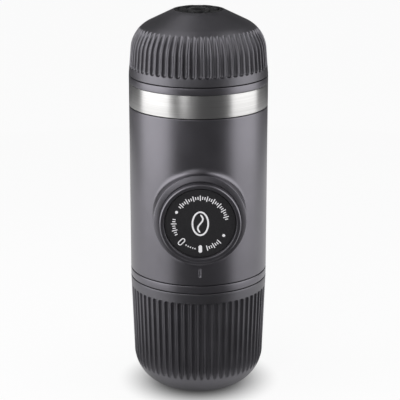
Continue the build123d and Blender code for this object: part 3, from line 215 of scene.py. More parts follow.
def coil(node, along, beside, radius, wire, turns):
    """A round wire on a helix between the ends of a node's box, with a closed end each way.

    The centre line turns evenly about its axis while it climbs.  A circle of the wire's radius
    stands square to it, in the outward direction and the one across both.
    """
    low, high = (np.array(corner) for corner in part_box(node))
    along, beside = np.array(along), np.array(beside)
    third = np.cross(along, beside)
    length = (high - low) @ along - 2 * wire
    foot = (low + high) / 2 - along * length / 2
    share = np.linspace(0, 1, steps_a_turn * turns + 1)
    share = np.append(np.insert(share, 0, 0), 1)
    fullness = np.ones(len(share))
    fullness[[0, -1]] = 0
    angle = 2 * np.pi * turns * share[:, None]
    outward = beside * np.cos(angle) + third * np.sin(angle)
    ahead = along * length + 2 * np.pi * turns * radius * (
        third * np.cos(angle) - beside * np.sin(angle)
    )
    ahead /= np.linalg.norm(ahead, axis=1)[:, None]
    way = np.arange(wire_sides)[None, :, None] * 2 * np.pi / wire_sides
    circle = outward[:, None] * np.cos(way) + np.cross(ahead, outward)[:, None] * np.sin(way)
    centre = foot + along * length * share[:, None] + radius * outward
    return patch(centre[:, None] + wire * fullness[:, None, None] * circle, around=True)


def valve_spring(name, node, wire_coil):
    """A check valve's spring, on a mesh of its own."""
    made = piece(name, [wire_coil], stainless, "main", "spring_steel", node)
    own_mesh(made)


x_axis, y_axis, z_axis = (1, 0, 0), (0, 1, 0), (0, 0, 1)
outlet_coil = coil("outlet_spring", z_axis, x_axis, radius=0.0016, wire=0.0002, turns=5)
valve_spring("outlet_coil", "outlet_spring", outlet_coil)
relief_coil = coil("relief_spring", x_axis, y_axis, radius=0.00115, wire=0.00015, turns=3)
valve_spring("relief_coil", "relief_spring", relief_coil)

# ---------- pump
# Cylinder, piston head, capsule cup and funnel, moulded smooth where water or coffee runs.
smooth_nylon = moulded(
    "smooth_nylon", (0.02, 0.02, 0.021), (0.03, 0.03, 0.031), (0.28, 0.36), 1800, 1e-6
)
dress(smooth_nylon, "pump_cylinder", "piston_head", "capsule_holder", "head_funnel")

# ---------- seals
# O-rings, gaskets, the duckbill and the umbrella valve in black silicone rubber, matt and
# faintly dusty where it has been handled.
rubber = moulded("rubber", (0.012, 0.012, 0.012), (0.03, 0.03, 0.029), (0.6, 0.78), 1500, 6e-6)
dress(rubber, "block_seal", "inlet_valve", "piston_rings", "chamber_ring", "adapter_gasket")
dress(rubber, "head_seal", "tank_gasket", "air_valve", "cup_ring")

# ---------- casing
# Outer tube with the raised boss for the knob and an index slot under it, moulded in one
# piece and sprayed with a satin charcoal lacquer.
body_radius = 0.031
casing_wall = 0.0022
casing_bottom, casing_top = 0.0568, 0.1322
knob_height = 0.0881
boss_radius, boss_bore, boss_lip, boss_reach = 0.0203, 0.0181, 0.01785, 0.0352
boss_slope, root_fillet, lip_fillet = 0.001, 0.0029, 0.0002
edge_round = 0.00035
slot_middle, slot_half_length, slot_half_width, slot_depth = 0.0628, 0.00165, 0.00065, 0.0004
slot_reach = 1.2 * slot_half_width


def round_axis(radius, height, angles):
    """Points round +Z: x = r cos a, y = r sin a, z = height."""
    points = radius * np.cos(angles), radius * np.sin(angles), height
    return np.stack(np.broadcast_arrays(*points), -1)


def turned(profile, angles):
    """A profile of (radius, height) points carried round +Z."""
    return round_axis(profile[:, 0, None], profile[:, 1, None], angles)


def heading(angle):
    """A unit step in (radius, height): cos a outwards, sin a upwards."""
    return np.stack([np.cos(angle), np.sin(angle)], -1)


def arc(middle, radius, first, last, steps):
    """Points on a circle in (radius, height), from one angle to another, in radians."""
    return middle + radius * heading(np.linspace(first, last, steps))


def rounded(corners, steps=4):
    """Closed outline through (x, y, rounding) corners, each turned into an arc.

    An arc's centre lies on the bisector, at rounding / sin(half the corner's angle), and its
    points are turned evenly from one tangent point to the other.
    """
    point, rounding = np.array(corners)[:, :2], np.array(corners)[:, 2, None]
    back = np.roll(point, 1, axis=0) - point
    ahead = np.roll(point, -1, axis=0) - point
    back /= np.linalg.norm(back, axis=1)[:, None]
    ahead /= np.linalg.norm(ahead, axis=1)[:, None]
    half = np.arccos(np.clip(np.sum(back * ahead, axis=1), -1, 1))[:, None] / 2
    middle = (back + ahead) / np.linalg.norm(back + ahead, axis=1)[:, None]
    centre = point + middle * rounding / np.sin(half)
    first = back * rounding / np.tan(half) + point - centre
    last = ahead * rounding / np.tan(half) + point - centre
    sweep = np.pi - 2 * half
    share = np.linspace(0, 1, steps + 1)[None, :, None]
    turned_by = sweep[:, None] * share
    arcs = first[:, None] * np.sin(sweep[:, None] - turned_by) + last[:, None] * np.sin(turned_by)
    return (centre[:, None] + arcs / np.sin(sweep)[:, None]).reshape(-1, 2)


# The front half of the tube is one grid.  Its outer edge is a rectangle unrolled from the
# tube, its inner edge the boss; every column of it runs on over the boss and back inside.
half_columns, wall_rows = 61, 49
side_angles = np.linspace(-np.pi / 2, np.pi / 2, half_columns)
slot_angles = np.linspace(-0.0012, 0.0012, 33) / body_radius
turn = np.unique(np.concatenate([side_angles, slot_angles]))
rise = np.linspace(casing_bottom + edge_round, casing_top - edge_round, wall_rows)[1:-1]
side = np.full(len(rise), np.pi / 2)
edge_turn = np.concatenate([turn, side, turn[::-1], -side])
edge_rise = np.concatenate(
    [np.full(len(turn), casing_bottom + edge_round), rise,
     np.full(len(turn), casing_top - edge_round), rise[::-1]]
)
edge_way = np.arctan2(edge_rise - knob_height, body_radius * edge_turn)
way_x, way_z = np.cos(edge_way), np.sin(edge_way)


def boss_ring(radius, reach):
    """A ring of points round the pump's axis, one on each column, at a reach towards -Y."""
    x, z = radius * way_x, knob_height + radius * way_z
    return np.stack([x, -reach + 0 * x, z], -1)


def tube_reach(radius, tube_radius):
    """How far towards -Y the tube's wall stands at a distance from the pump's axis."""
    return np.sqrt(tube_radius**2 - (radius * way_x) ** 2)


def tube_sheet(tube_radius, inner, share):
    """Rows between the boss and the rectangle: both unrolled, then mixed by a share."""
    inner_turn = np.arcsin(inner * way_x / tube_radius)
    inner_rise = knob_height + inner * way_z
    angle = inner_turn + (edge_turn - inner_turn) * share[:, None]
    height = inner_rise + (edge_rise - inner_rise) * share[:, None]
    return angle, height


def wrapped(radius, angle, height):
    """Points round +Z, their angle counted from the front: x = r sin a, y = -r cos a."""
    return np.stack([radius * np.sin(angle), -radius * np.cos(angle), height], -1)


# The root fillet meets the tube at the angle that the wall has there, so its arc is shorter
# at the sides: it turns from the wall's own slope to the boss's straight side.
slope_there = np.arctan2(boss_radius * way_x**2, tube_reach(boss_radius, body_radius))
open_angle = np.pi / 2 - slope_there
leg = root_fillet * np.tan(open_angle / 2)
meet = boss_radius + leg * np.cos(slope_there)
sheet_rows, crowding = 57, 1.15
share = np.linspace(1, 0, sheet_rows) ** crowding
angle, height = tube_sheet(body_radius, meet, share)
along = np.clip(np.abs(height - slot_middle) - slot_half_length, 0, None)
from_slot = np.hypot(body_radius * angle, along)
sink = 0.5 + 0.5 * np.cos(np.pi * np.clip(from_slot / slot_reach, 0, 1))
depth = slot_depth * sink * (height < knob_height)
outer = wrapped(body_radius - depth, angle, height)
fillet_share = np.linspace(0, 1, 9)[1:, None]
rest = (1 - fillet_share) ** 2
wall_reach = tube_reach(meet, body_radius)
corner_reach = wall_reach + leg * np.sin(slope_there)
fillet_radius_way = rest * meet + (1 - rest) * boss_radius
fillet_reach = (
    rest * wall_reach
    + 2 * fillet_share * (1 - fillet_share) * corner_reach
    + fillet_share**2 * (corner_reach + leg)
)
fillet_rows = np.stack(
    [fillet_radius_way * way_x, -fillet_reach, knob_height + fillet_radius_way * way_z], -1
)
# The boss's face slopes back to its edge, and a bead just inside it keeps dust off the knob.
# Its outline's first two corners, of five points each, only close the turn and are left out.
bead_back, bead_chamfer = boss_reach - 0.0009, 0.0002
lip = rounded(
    [(0, 0, 0), (boss_radius, 0, 0), (boss_radius, boss_reach - boss_slope, edge_round),
     (boss_lip, boss_reach, lip_fillet)]
)[2 * 5:]
lip = np.concatenate([lip, [(boss_lip, bead_back), (boss_bore, bead_back - bead_chamfer)]])
lip_rows = np.stack([boss_ring(radius, reach) for radius, reach in lip])
bore_radius = body_radius - casing_wall
angle, height = tube_sheet(bore_radius, boss_bore, np.linspace(0, 1, 12))
inner = wrapped(bore_radius, angle, height)
front = np.concatenate([outer, fillet_rows, lip_rows, inner])

# The back half and the two rims close it, on the same columns.
back_turn = np.linspace(np.pi / 2, 3 * np.pi / 2, half_columns)
rim_turn = np.concatenate([turn, back_turn[1:-1]])
end_round = edge_round * 0.6
top_rim = np.concatenate(
    [arc((body_radius - edge_round, casing_top - edge_round), edge_round, 0, np.pi / 2, 5),
     arc((bore_radius + end_round, casing_top - end_round), end_round, np.pi / 2, np.pi, 4),
     [(bore_radius, casing_top - edge_round)]]
)
bottom_rim = top_rim[::-1] * (1, -1) + (0, casing_top + casing_bottom)
rim_angles, back_angles = rim_turn - np.pi / 2, back_turn - np.pi / 2
back_rise = np.linspace(casing_bottom + edge_round, casing_top - edge_round, wall_rows)
back_outer = np.stack([np.full(wall_rows, body_radius), back_rise], -1)
back_inner = np.stack([np.full(wall_rows, bore_radius), back_rise[::-1]], -1)


flake = 0.96


def lacquer(name, dark, light, gloss, drift, grain, depth):
    """Sprayed lacquer: a share of metal flake too fine to see, orange peel, a slow cloudiness."""
    material, tree, shader, place = new_material(name)
    cloud = noise(tree, place, drift)
    shade(tree, cloud, dark, light, shader.inputs["Base Color"])
    spread(tree, cloud, gloss[0], gloss[1], shader.inputs["Roughness"])
    relief(tree, noise(tree, place, grain, detail=2), depth, shader)
    shader.inputs["Metallic"].default_value = flake
    return material


satin = lacquer(
    "satin_lacquer", (0.15, 0.145, 0.16), (0.17, 0.164, 0.182), (0.33, 0.38), 45, 1400, 3e-6
)
piece(
    "casing_shell",
    [patch(front, around=True), patch(turned(back_outer, back_angles)),
     patch(turned(back_inner, back_angles)), patch(turned(top_rim, rim_angles), around=True),
     patch(turned(bottom_rim, rim_angles), around=True)],
    satin, "main", "casing_plastic", "casing",
)

# ---------- pump knob
# Push button moulded as a cup, lacquered like the casing.  Two lugs at its tail lock in the
# pump's sleeve, and a bevelled rim stands round its dial.
knob_radius, knob_bore, knob_tail, knob_reach = 0.0177, 0.0159, 0.002, 0.0396
dial_seat, dial_back, knob_inside = 0.0155, 0.0375, 0.0353
rim_bevel, rim_width, rim_inside = 0.00045, 0.0013, 0.0387
lug_height, lug_length, lug_angle, lug_root = 0.0013, 0.003, np.radians(20), 0.0009
screw_recess, screw_hole, recess_depth = 0.0031, 0.0016, 0.0012
stem_bore, stem_radius, stem_tail = 0.00406, 0.0062, 0.0293
rim_round = 0.0002


def closed(outline):
    """An outline with its first point repeated at its end."""
    return np.concatenate([outline, outline[:1]])


def round_pump(radius, reach, angles):
    """Points round the pump's axis: x = r cos a, y = -reach, z = knob height + r sin a."""
    points = radius * np.cos(angles), -reach, knob_height + radius * np.sin(angles)
    return np.stack(np.broadcast_arrays(*points), -1)


def pump_turned(profile, angles):
    """A profile of (radius, reach) points carried round the pump's axis, reach towards -Y."""
    return round_pump(profile[:, 0, None], profile[:, 1, None], angles)


def full_turn(columns):
    """Even angles round a whole turn."""
    return np.arange(columns) * 2 * np.pi / columns


fine = 0.00015
knob_outline = rounded(
    [(knob_radius, knob_tail, fine), (knob_radius, knob_reach - rim_bevel, rim_round),
     (knob_radius - rim_bevel, knob_reach, rim_round),
     (knob_radius - rim_bevel - rim_width, knob_reach, rim_round),
     (dial_seat, rim_inside, fine), (dial_seat, dial_back, fine), (screw_recess, dial_back, fine),
     (screw_recess, dial_back - recess_depth, fine), (screw_hole, dial_back - recess_depth, fine),
     (screw_hole, knob_inside, fine), (stem_bore, knob_inside, fine),
     (stem_bore, stem_tail, fine), (stem_radius, stem_tail, fine),
     (stem_radius, knob_inside, fine), (knob_bore, knob_inside, fine),
     (knob_bore, knob_tail, fine)]
)
lug_outline = rounded(
    [(knob_radius - lug_root, knob_tail, fine), (knob_radius + lug_height, knob_tail, fine),
     (knob_radius + lug_height, knob_tail + lug_length, fine),
     (knob_radius - lug_root, knob_tail + lug_length, fine)]
)


def lug(middle):
    """A lug: its outline carried along a short arc, drawn together at both ends."""
    share = np.array([-1, -1, -0.97, 0, 0.97, 1, 1])
    fullness = np.array([0, 0.9, 1, 1, 1, 0.9, 0])[None, :]
    heart = lug_outline.mean(axis=0)
    radius = heart[0] + (closed(lug_outline)[:, 0, None] - heart[0]) * fullness
    reach = heart[1] + (closed(lug_outline)[:, 1, None] - heart[1]) * fullness
    return round_pump(radius, reach, middle + share * lug_angle / 2)


piece(
    "pump_button",
    [patch(pump_turned(closed(knob_outline), full_turn(192)), around=True),
     patch(lug(np.pi / 2)), patch(lug(-np.pi / 2))],
    satin, "knob", "knob_plastic", "pump_knob",
)

# ---------- knob dial
# Black disc set into the knob, with pad-printed marks: a bar and an outlined bar for the two
# positions, arrows between them, dots, a graduated ring and a coffee bean.
dial_radius, dial_reach, dial_bevel = 0.0154, 0.0387, 0.0003
ink = 0.00003
mark_circle = 0.0115
bar_length, bar_radius, line_half_width = 0.0034, 0.00078, 0.0002
dot_length, dot_radius, arrow_half_width = 0.0013, 0.00065, 0.00042
long_tick, short_tick, tick_half_width = 0.0024, 0.0013, 0.00021
bean_across, bean_up, bean_half_width = 0.0034, 0.0052, 0.00036
crease_up, crease_swing, crease_half_width, crease_taper = 0.0041, 0.0011, 0.00034, 0.0004


def mark(path, half_width, loop=False):
    """A printed stroke: a flat box of the ink's thickness carried along a path.

    The path's points are (x, z) in metres from the dial's centre; the stroke's half width may
    change along it, and comes to nothing at an open end.
    """
    if loop:
        ahead = np.roll(path, -1, axis=0) - np.roll(path, 1, axis=0)
    else:
        ahead = np.gradient(path, axis=0)
    ahead /= np.linalg.norm(ahead, axis=1)[:, None]
    beside = np.stack([-ahead[:, 1], ahead[:, 0]], -1) * np.reshape(half_width, (-1, 1))
    side = np.array([-1, 1, 1, -1, -1])[:, None, None]
    lift = np.array([1, 1, 0, 0, 1])[:, None] * ink
    flat = path[None] + side * beside[None]
    x, z = flat[..., 0], flat[..., 1]
    return patch(np.stack([x, -dial_reach - lift + 0 * x, knob_height + z], -1), around=loop)


def polar(radius, clock):
    """(x, z) on the dial at a radius, its angle in degrees clockwise from the top."""
    angle = np.radians(clock)
    return np.stack(np.broadcast_arrays(radius * np.sin(angle), radius * np.cos(angle)), -1)


def bar(clock, length, radius):
    """A round-ended radial bar: half width follows the ends' half circles."""
    along = (length / 2 - radius) + radius * np.sin(np.linspace(0, np.pi / 2, 8))
    along = np.concatenate([-along[::-1], along])
    rest = np.clip(np.abs(along) - (length / 2 - radius), 0, radius)
    return mark(polar(mark_circle + along, clock), np.sqrt(radius**2 - rest**2))


def tick(clock, low, high, half_width):
    """A square-ended radial stroke."""
    along = np.array([low, low + 1e-6, high - 1e-6, high])
    return mark(polar(along, clock), half_width * np.array([0, 1, 1, 0]))


def outlined(clock, length, radius, half_width):
    """The outline of a round-ended bar, as a closed stroke."""
    way = full_turn(40)
    straight = length / 2 - radius
    out = radius * np.sin(way) + straight * np.sign(np.sin(way))
    across = radius * np.cos(way)
    middle, angle = polar(mark_circle, clock), np.radians(clock)
    outward = np.array([np.sin(angle), np.cos(angle)])
    sideways = np.array([np.cos(angle), -np.sin(angle)])
    return mark(middle + out[:, None] * outward + across[:, None] * sideways, half_width, True)


def arrow(clock):
    """A small arrowhead that points clockwise round the ring."""
    angles = clock + np.array([-1.6, -1.59, 1.6])
    return mark(polar(mark_circle, angles), arrow_half_width * np.array([0, 1, 0]))


bean_way = full_turn(64)
bean = np.stack([bean_across * np.cos(bean_way), bean_up * np.sin(bean_way)], -1)
crease_rise = np.linspace(-crease_up, crease_up, 33)
bean_crease = np.stack([crease_swing * np.sin(crease_rise * np.pi / crease_up), crease_rise], -1)
from_end = (crease_up - np.abs(crease_rise)) / crease_taper
crease_width = crease_half_width * np.clip(from_end, 0, 1) ** 0.5
scale = [(clock, long_tick if clock % 15 == 0 else short_tick)
         for first, last in ((-51, 82), (-117, -75), (131, 166))
         for clock in range(first, last) if clock % 5 == 0]
marks = [bar(180, bar_length, bar_radius)]
marks += [outlined(225, bar_length, bar_radius, line_half_width)]
marks += [bar(clock, dot_length, dot_radius) for clock in (-63, 118)]
marks += [arrow(clock) for clock in np.linspace(192, 213, 5)]
marks += [tick(clock, mark_circle - length / 2, mark_circle + length / 2, tick_half_width)
          for clock, length in scale]
marks += [mark(bean, bean_half_width, True), mark(bean_crease, crease_width)]
dial_black = moulded(
    "dial_black", (0.014, 0.0135, 0.015), (0.02, 0.019, 0.021), (0.3, 0.36), 1600, 1e-6
)
print_white = moulded(
    "print_white", (0.68, 0.67, 0.69), (0.8, 0.79, 0.81), (0.45, 0.55), 3000, 1e-6
)
dial_outline = np.concatenate(
    [[(0, dial_back)], [(dial_radius, dial_back)],
     arc((dial_radius - dial_bevel, dial_reach - dial_bevel), dial_bevel, 0, np.pi / 2, 5),
     [(0.012, dial_reach), (0.006, dial_reach), (0, dial_reach)]]
)
piece(
    "dial_disc", [patch(pump_turned(dial_outline, full_turn(160)), around=True)],
    dial_black, "knob", "dial_black", "knob_dial",
)
piece("dial_marks", marks, print_white, "knob", None)

# ---------- water tank
# Tank moulded in plastic and lacquered like the casing.  It hangs inside the cup, its collar
# shows as a plain ring above it, and it screws on by three short ridges inside its mouth.
collar_bottom, collar_top = 0.053, 0.0565
tank_wall, tank_inset = 0.0019, 0.0026
cup_height, cup_side_radius, cup_corner_radius = 0.0527, 0.02975, 0.017
cup_foot_radius = cup_side_radius - cup_corner_radius
cup_slope = (body_radius - cup_side_radius) / (cup_height - cup_corner_radius)
skirt_bore, neck_radius, ridge_height = 0.0263, 0.025, 0.001
gasket_groove, gasket_depth = (0.0274, 0.029), 0.0012
lead, male_span, female_span = 0.009, np.radians(200), np.radians(150)
ridge_root, ridge_half_foot, ridge_half_crest = 0.0002, 0.0007, 0.0004


def gasket_seat(face, depth):
    """Corners of a gasket's groove, from its outer edge to its inner one."""
    inner, outer = gasket_groove
    return np.array([(outer, face), (outer, face + depth), (inner, face + depth), (inner, face)])


def outer_face(bottom, top):
    """A plain ring's outer face, rounded at both edges, on the machine's full radius."""
    middle = body_radius - edge_round
    return np.concatenate(
        [arc((middle, bottom + edge_round), edge_round, -np.pi / 2, 0, 5),
         arc((middle, top - edge_round), edge_round, 0, np.pi / 2, 5)]
    )


def ridges(root, crest, start, span):
    """Three thread ridges: a trapezoid carried up a helix, z = start + lead * angle / turn.

    The trapezoid sinks back to its root over the first and last tenth of the span.
    """
    share = np.linspace(0, 1, 61)[None, :]
    height = root + (crest - root) * np.clip(10 * np.minimum(share, 1 - share), 0, 1)
    radius = np.concatenate([0 * share + root, height, height, 0 * share + root])
    flank = np.array([-ridge_half_foot, -ridge_half_crest, ridge_half_crest, ridge_half_foot])
    flank = flank[:, None]
    rise = start + flank + lead * share * span / (2 * np.pi)
    if crest < root:
        radius, rise = radius[::-1], rise[::-1]
    first = np.arange(3)[:, None, None] * 2 * np.pi / 3 + share * span
    return [patch(round_axis(radius, rise, angle)) for angle in first]


def side_line(inset, rise):
    """Points up the cup's tapered side, moved inwards by an inset."""
    return np.stack([cup_side_radius - inset + (rise - cup_corner_radius) * cup_slope, rise], -1)


def cup_corner(inset, first, last, steps=25):
    """The cup's round corner, moved inwards by an inset."""
    middle = (cup_foot_radius, cup_corner_radius)
    return arc(middle, cup_corner_radius - inset, np.radians(first), np.radians(last), steps)


ring_middle, ring_groove = (0.02793, 0.0495), 0.00076
ring_open = np.arccos((side_line(tank_inset, ring_middle[1])[0] - ring_middle[0]) / ring_groove)
bore_foot, side_foot = 0.0479, 0.0488
pocket_radius, pocket_foot, pocket_top = 0.0079, 0.0045, 0.0075
stem_hole, seat_radius, seat_rise = 0.0013, 0.006, 0.0056
tank_outline = np.concatenate(
    [cup_corner(tank_inset, -90, 0), [side_line(tank_inset, side_foot)],
     arc(ring_middle, ring_groove, -ring_open, ring_open - 2 * np.pi, 9),
     [side_line(tank_inset, collar_bottom)],
     outer_face(collar_bottom, collar_top), gasket_seat(collar_top, -gasket_depth),
     arc((skirt_bore + fine, collar_top - fine), fine, np.pi / 2, np.pi, 4),
     [(skirt_bore, bore_foot), side_line(tank_inset + tank_wall, bore_foot)],
     cup_corner(tank_inset + tank_wall, 0, -90),
     rounded([(pocket_radius, pocket_foot, 0), (pocket_radius, pocket_top, fine),
              (stem_hole, pocket_top, fine), (stem_hole, seat_rise, fine),
              (seat_radius, seat_rise, fine), (seat_radius, tank_inset, 0)])]
)
piece(
    "tank_shell",
    [patch(turned(closed(tank_outline), full_turn(192)), around=True),
     *ridges(skirt_bore + ridge_root, skirt_bore - ridge_height, start=0.0518, span=female_span)],
    satin, "tank", "casing_plastic", "water_tank",
)

# ---------- cup
# Drinking cup that slips over the tank and carries the machine.  Sixty ball-nosed grooves
# leave narrow ribs round it, run out on its round corner and stop short of its plain rim.
rib_count, groove_radius, rib_round = 60, 0.00115, 0.00044
cup_wall, cup_rim_round, cup_lining_top, foot_flat = 0.0022, 0.0003, 0.0515, 0.006
cup_groove_depth, cup_groove_top = 0.0012, 0.04712
cup_rib_turn = np.radians(1.6)


def ribbed(line, normal, lift, radius, first):
    """A turned surface with a groove cut in each of its pitches.

    Each row of the line has an outward normal, the lift of the groove's centre over the
    surface and the groove's radius there.  At u from its middle a groove is
    sqrt(radius^2 - u^2) - lift deep, and a small arc rounds the rib beside it: it touches the
    groove's circle and the surface.  Depth is taken against the normal.
    """
    cut = (radius > 0) & (lift < radius)
    reach = np.where(cut, radius, 0.0003)[:, None]
    sunk = np.where(cut, lift, 0)[:, None]
    edge = np.sqrt((reach + rib_round) ** 2 - (rib_round + sunk) ** 2)
    touch = reach * edge / (reach + rib_round)
    half_pitch = line[:, 0, None] * np.pi / rib_count
    groove = touch * np.sin(np.linspace(0, np.pi / 2, 6))[None]
    shoulder = touch + (edge - touch) * np.array([[0.33, 0.67, 1.0]])
    half = np.concatenate([groove, np.minimum(shoulder, 0.995 * half_pitch), half_pitch], 1)
    deep = np.sqrt(np.maximum(reach**2 - half**2, 0)) - sunk
    soft = rib_round - np.sqrt(np.maximum(rib_round**2 - np.maximum(edge - half, 0) ** 2, 0))
    depth = np.where(half <= touch, deep, np.where(half < edge, soft, 0)) * cut[:, None]
    u = np.concatenate([half, 2 * half_pitch - half[:, -2:0:-1]], 1)
    depth = np.concatenate([depth, depth[:, -2:0:-1]], 1)
    pitch = np.arange(rib_count)[None, :, None] * 2 * np.pi / rib_count
    angle = (first + pitch + (u / line[:, 0, None])[:, None]).reshape(len(line), -1)
    depth = np.tile(depth, rib_count)
    distance = line[:, 0, None] - normal[:, 0, None] * depth
    height = line[:, 1, None] - normal[:, 1, None] * depth
    return round_axis(distance, height, angle)


def ball_end(distance):
    """Radius of a groove beyond its last full section, where it ends in half a ball."""
    past = np.clip(distance, 0, groove_radius)
    return np.sqrt(groove_radius**2 - past**2) * (distance < groove_radius)


def way_round(row):
    """Angles round +Z of a row's points, so that the next patch can share its columns."""
    return np.arctan2(row[:, 1], row[:, 0])


# The rows crowd towards the groove's very end, and the next row lies just past it.
ball_rows = groove_radius * np.sin(np.linspace(0, 0.98 * np.pi / 2, 7))
past_ball = 1.02 * groove_radius
corner_turn = np.radians(np.concatenate([np.linspace(-90, -30, 13), np.linspace(-27, 0, 19)]))
cup_rise = np.concatenate(
    [np.linspace(cup_corner_radius, cup_groove_top, 8)[1:-1], cup_groove_top + ball_rows,
     np.linspace(cup_groove_top + past_ball, cup_height - edge_round, 5)]
)
tilt = np.arctan(cup_slope)
cup_line = np.concatenate(
    [(cup_foot_radius, cup_corner_radius) + cup_corner_radius * heading(corner_turn),
     side_line(0, cup_rise)]
)
cup_normal = np.concatenate([heading(corner_turn), np.tile(heading(-tilt), (len(cup_rise), 1))])
centre_reach = cup_corner_radius + groove_radius - cup_groove_depth
cup_lift = np.concatenate(
    [centre_reach / np.maximum(np.cos(corner_turn + tilt), 0.1) - cup_corner_radius,
     np.full(len(cup_rise), groove_radius - cup_groove_depth)]
)
cup_groove = ball_end(cup_line[:, 1] - cup_groove_top)
rib_lacquer = lacquer(
    "rib_lacquer", (0.125, 0.122, 0.133), (0.147, 0.143, 0.157), (0.4, 0.46), 60, 1900, 4e-6
)
cup_inside = np.concatenate(
    [arc(side_line(edge_round, cup_height - edge_round), edge_round, 0, np.pi / 2, 5),
     arc(side_line(cup_wall, cup_height) + (cup_rim_round, -cup_rim_round), cup_rim_round,
         np.pi / 2, np.pi, 4),
     [side_line(cup_wall, cup_lining_top)], cup_corner(cup_wall, 0, -90, 12),
     [(foot_flat, cup_wall), (0, cup_wall)]]
)
cup_foot = np.array([(0, 0), (foot_flat, 0), (cup_foot_radius, 0)])
cup_ribs = ribbed(cup_line, cup_normal, cup_lift, cup_groove, cup_rib_turn - np.pi / 2)
piece(
    "cup_shell",
    [patch(cup_ribs, around=True),
     patch(turned(cup_inside, way_round(cup_ribs[-1])), around=True),
     patch(turned(cup_foot, way_round(cup_ribs[0])), around=True)],
    rib_lacquer, "cup", "rib_plastic", "cup",
)

# ---------- capsule adapter
# Threaded ring between casing and head, with a deep chamber for the capsule.  Only its
# shoulder shows; its skirt carries the steel band.
adapter_bottom, band_top, shoulder_top = 0.1325, 0.1427, 0.1459
band_thickness = 0.00055
adapter_neck_top, rim_ledge, rim_bore = 0.1539, 0.1509, 0.0197
chamber_outer, chamber_bore, inlet_hole = 0.0196, 0.0176, 0.008
chamber_bottom, chamber_floor = 0.1225, 0.1245
socket_top, relief_outer, relief_top = 0.1411, 0.0234, 0.1494
chamber_ring, chamber_ring_groove = (0.01934, 0.127), 0.00086
groove_open = np.arccos((chamber_outer - chamber_ring[0]) / chamber_ring_groove)
band_play = 0.0001
skirt_radius = body_radius - band_thickness - band_play
adapter_outline = np.concatenate(
    [[(skirt_radius, adapter_bottom), (skirt_radius, band_top),
      (body_radius - edge_round, band_top)],
     outer_face(band_top, shoulder_top), [(neck_radius, shoulder_top)],
     arc((neck_radius - fine, adapter_neck_top - fine), fine, 0, np.pi / 2, 4),
     [(rim_bore, adapter_neck_top), (rim_bore, rim_ledge), (chamber_bore, rim_ledge),
      (chamber_bore, chamber_floor), (inlet_hole, chamber_floor), (inlet_hole, chamber_bottom),
      (chamber_outer, chamber_bottom)],
     arc(chamber_ring, chamber_ring_groove, -groove_open, groove_open - 2 * np.pi, 9),
     [(chamber_outer, relief_top), (relief_outer, relief_top), (relief_outer, socket_top),
      (skirt_bore, socket_top), (skirt_bore, adapter_bottom)],
     gasket_seat(adapter_bottom, gasket_depth)[::-1]]
)
piece(
    "adapter_shell",
    [patch(turned(closed(adapter_outline), full_turn(192)), around=True),
     *ridges(skirt_bore + ridge_root, skirt_bore - ridge_height, start=0.1352, span=female_span),
     *ridges(neck_radius - ridge_root, neck_radius + ridge_height, start=0.1474, span=male_span)],
    satin, "adapter", "casing_plastic", "adapter_body",
)

# ---------- steel band
# Strip of stainless steel round the adapter, turned to a fine grain that runs round it and
# draws every reflection out upwards.
band_gap, band_round = 0.00006, 0.00018
band_bottom, band_rim = adapter_bottom + band_gap, band_top - band_gap
band_outline = np.concatenate(
    [[(body_radius - band_thickness, band_bottom)],
     arc((body_radius - band_round, band_bottom + band_round), band_round, -np.pi / 2, 0, 4),
     arc((body_radius - band_round, band_rim - band_round), band_round, 0, np.pi / 2, 4),
     [(body_radius - band_thickness, band_rim)]]
)
band_steel = drawn_steel(
    "turned_steel", (0.47, 0.465, 0.46), (0.58, 0.575, 0.57), (0.34, 0.4), 250,
    (0.12, 0.12, 24), 1.2e-6, detail=5,
)
tree = band_steel.node_tree
shader = tree.nodes["Principled BSDF"]
shader.inputs["Anisotropic"].default_value = 0.93
shader.inputs["Anisotropic Rotation"].default_value = 0.25
tangent = tree.nodes.new("ShaderNodeTangent")
tangent.direction_type = "UV_MAP"
tangent.uv_map = "surface"
tree.links.new(tangent.outputs["Tangent"], shader.inputs["Tangent"])
piece(
    "band_strip", [patch(turned(closed(band_outline), full_turn(256)), around=True)],
    band_steel, "adapter", "band_steel", "adapter_band",
)

# ---------- outlet head
# Domed head that screws down on the adapter.  Its ribs match the cup's: the grooves climb
# its leaning side, follow the shoulder a little way and run out before the smooth cone.
head_bottom, head_side_top, head_side_radius = 0.1462, 0.158, 0.03005
head_corner_radius, head_top_radius, head_wall = 0.014, 0.0114, 0.0028
head_lean = np.arctan((body_radius - head_side_radius) / (head_side_top - head_bottom))
cone_slope = 26.3
head_turn_end = np.radians(90 - cone_slope)
head_groove_depth, head_groove_foot = 0.00135, 0.15095
climb = np.radians(20)
groove_last = head_lean + climb
spout_seat, spout_throat, seat_depth = 0.0109, 0.0087, 0.0011
corner_middle = (head_side_radius, head_side_top) - head_corner_radius * heading(head_lean)
cone_foot = corner_middle + head_corner_radius * heading(head_turn_end)
head_top = cone_foot[1] + (cone_foot[0] - head_top_radius) / np.tan(head_turn_end)
head_rise = np.concatenate(
    [np.linspace(head_bottom + edge_round, head_groove_foot - past_ball, 4),
     head_groove_foot - ball_rows[::-1], np.linspace(head_groove_foot, head_side_top, 7)[1:-1]]
)
ribs_end = np.radians(50)
head_turn = np.concatenate(
    [np.linspace(head_lean, groove_last, 8), np.linspace(groove_last, ribs_end, 17)[1:],
     np.linspace(ribs_end, head_turn_end, 5)[1:]]
)
cone_share = np.linspace(0, 1, 6)[1:, None]
cone_edge = np.array([head_top_radius + 0.0001, head_top - 0.00005])
head_line = np.concatenate(
    [np.stack([head_side_radius + (head_side_top - head_rise) * np.tan(head_lean), head_rise], -1),
     corner_middle + head_corner_radius * heading(head_turn),
     cone_foot + (cone_edge - cone_foot) * cone_share]
)
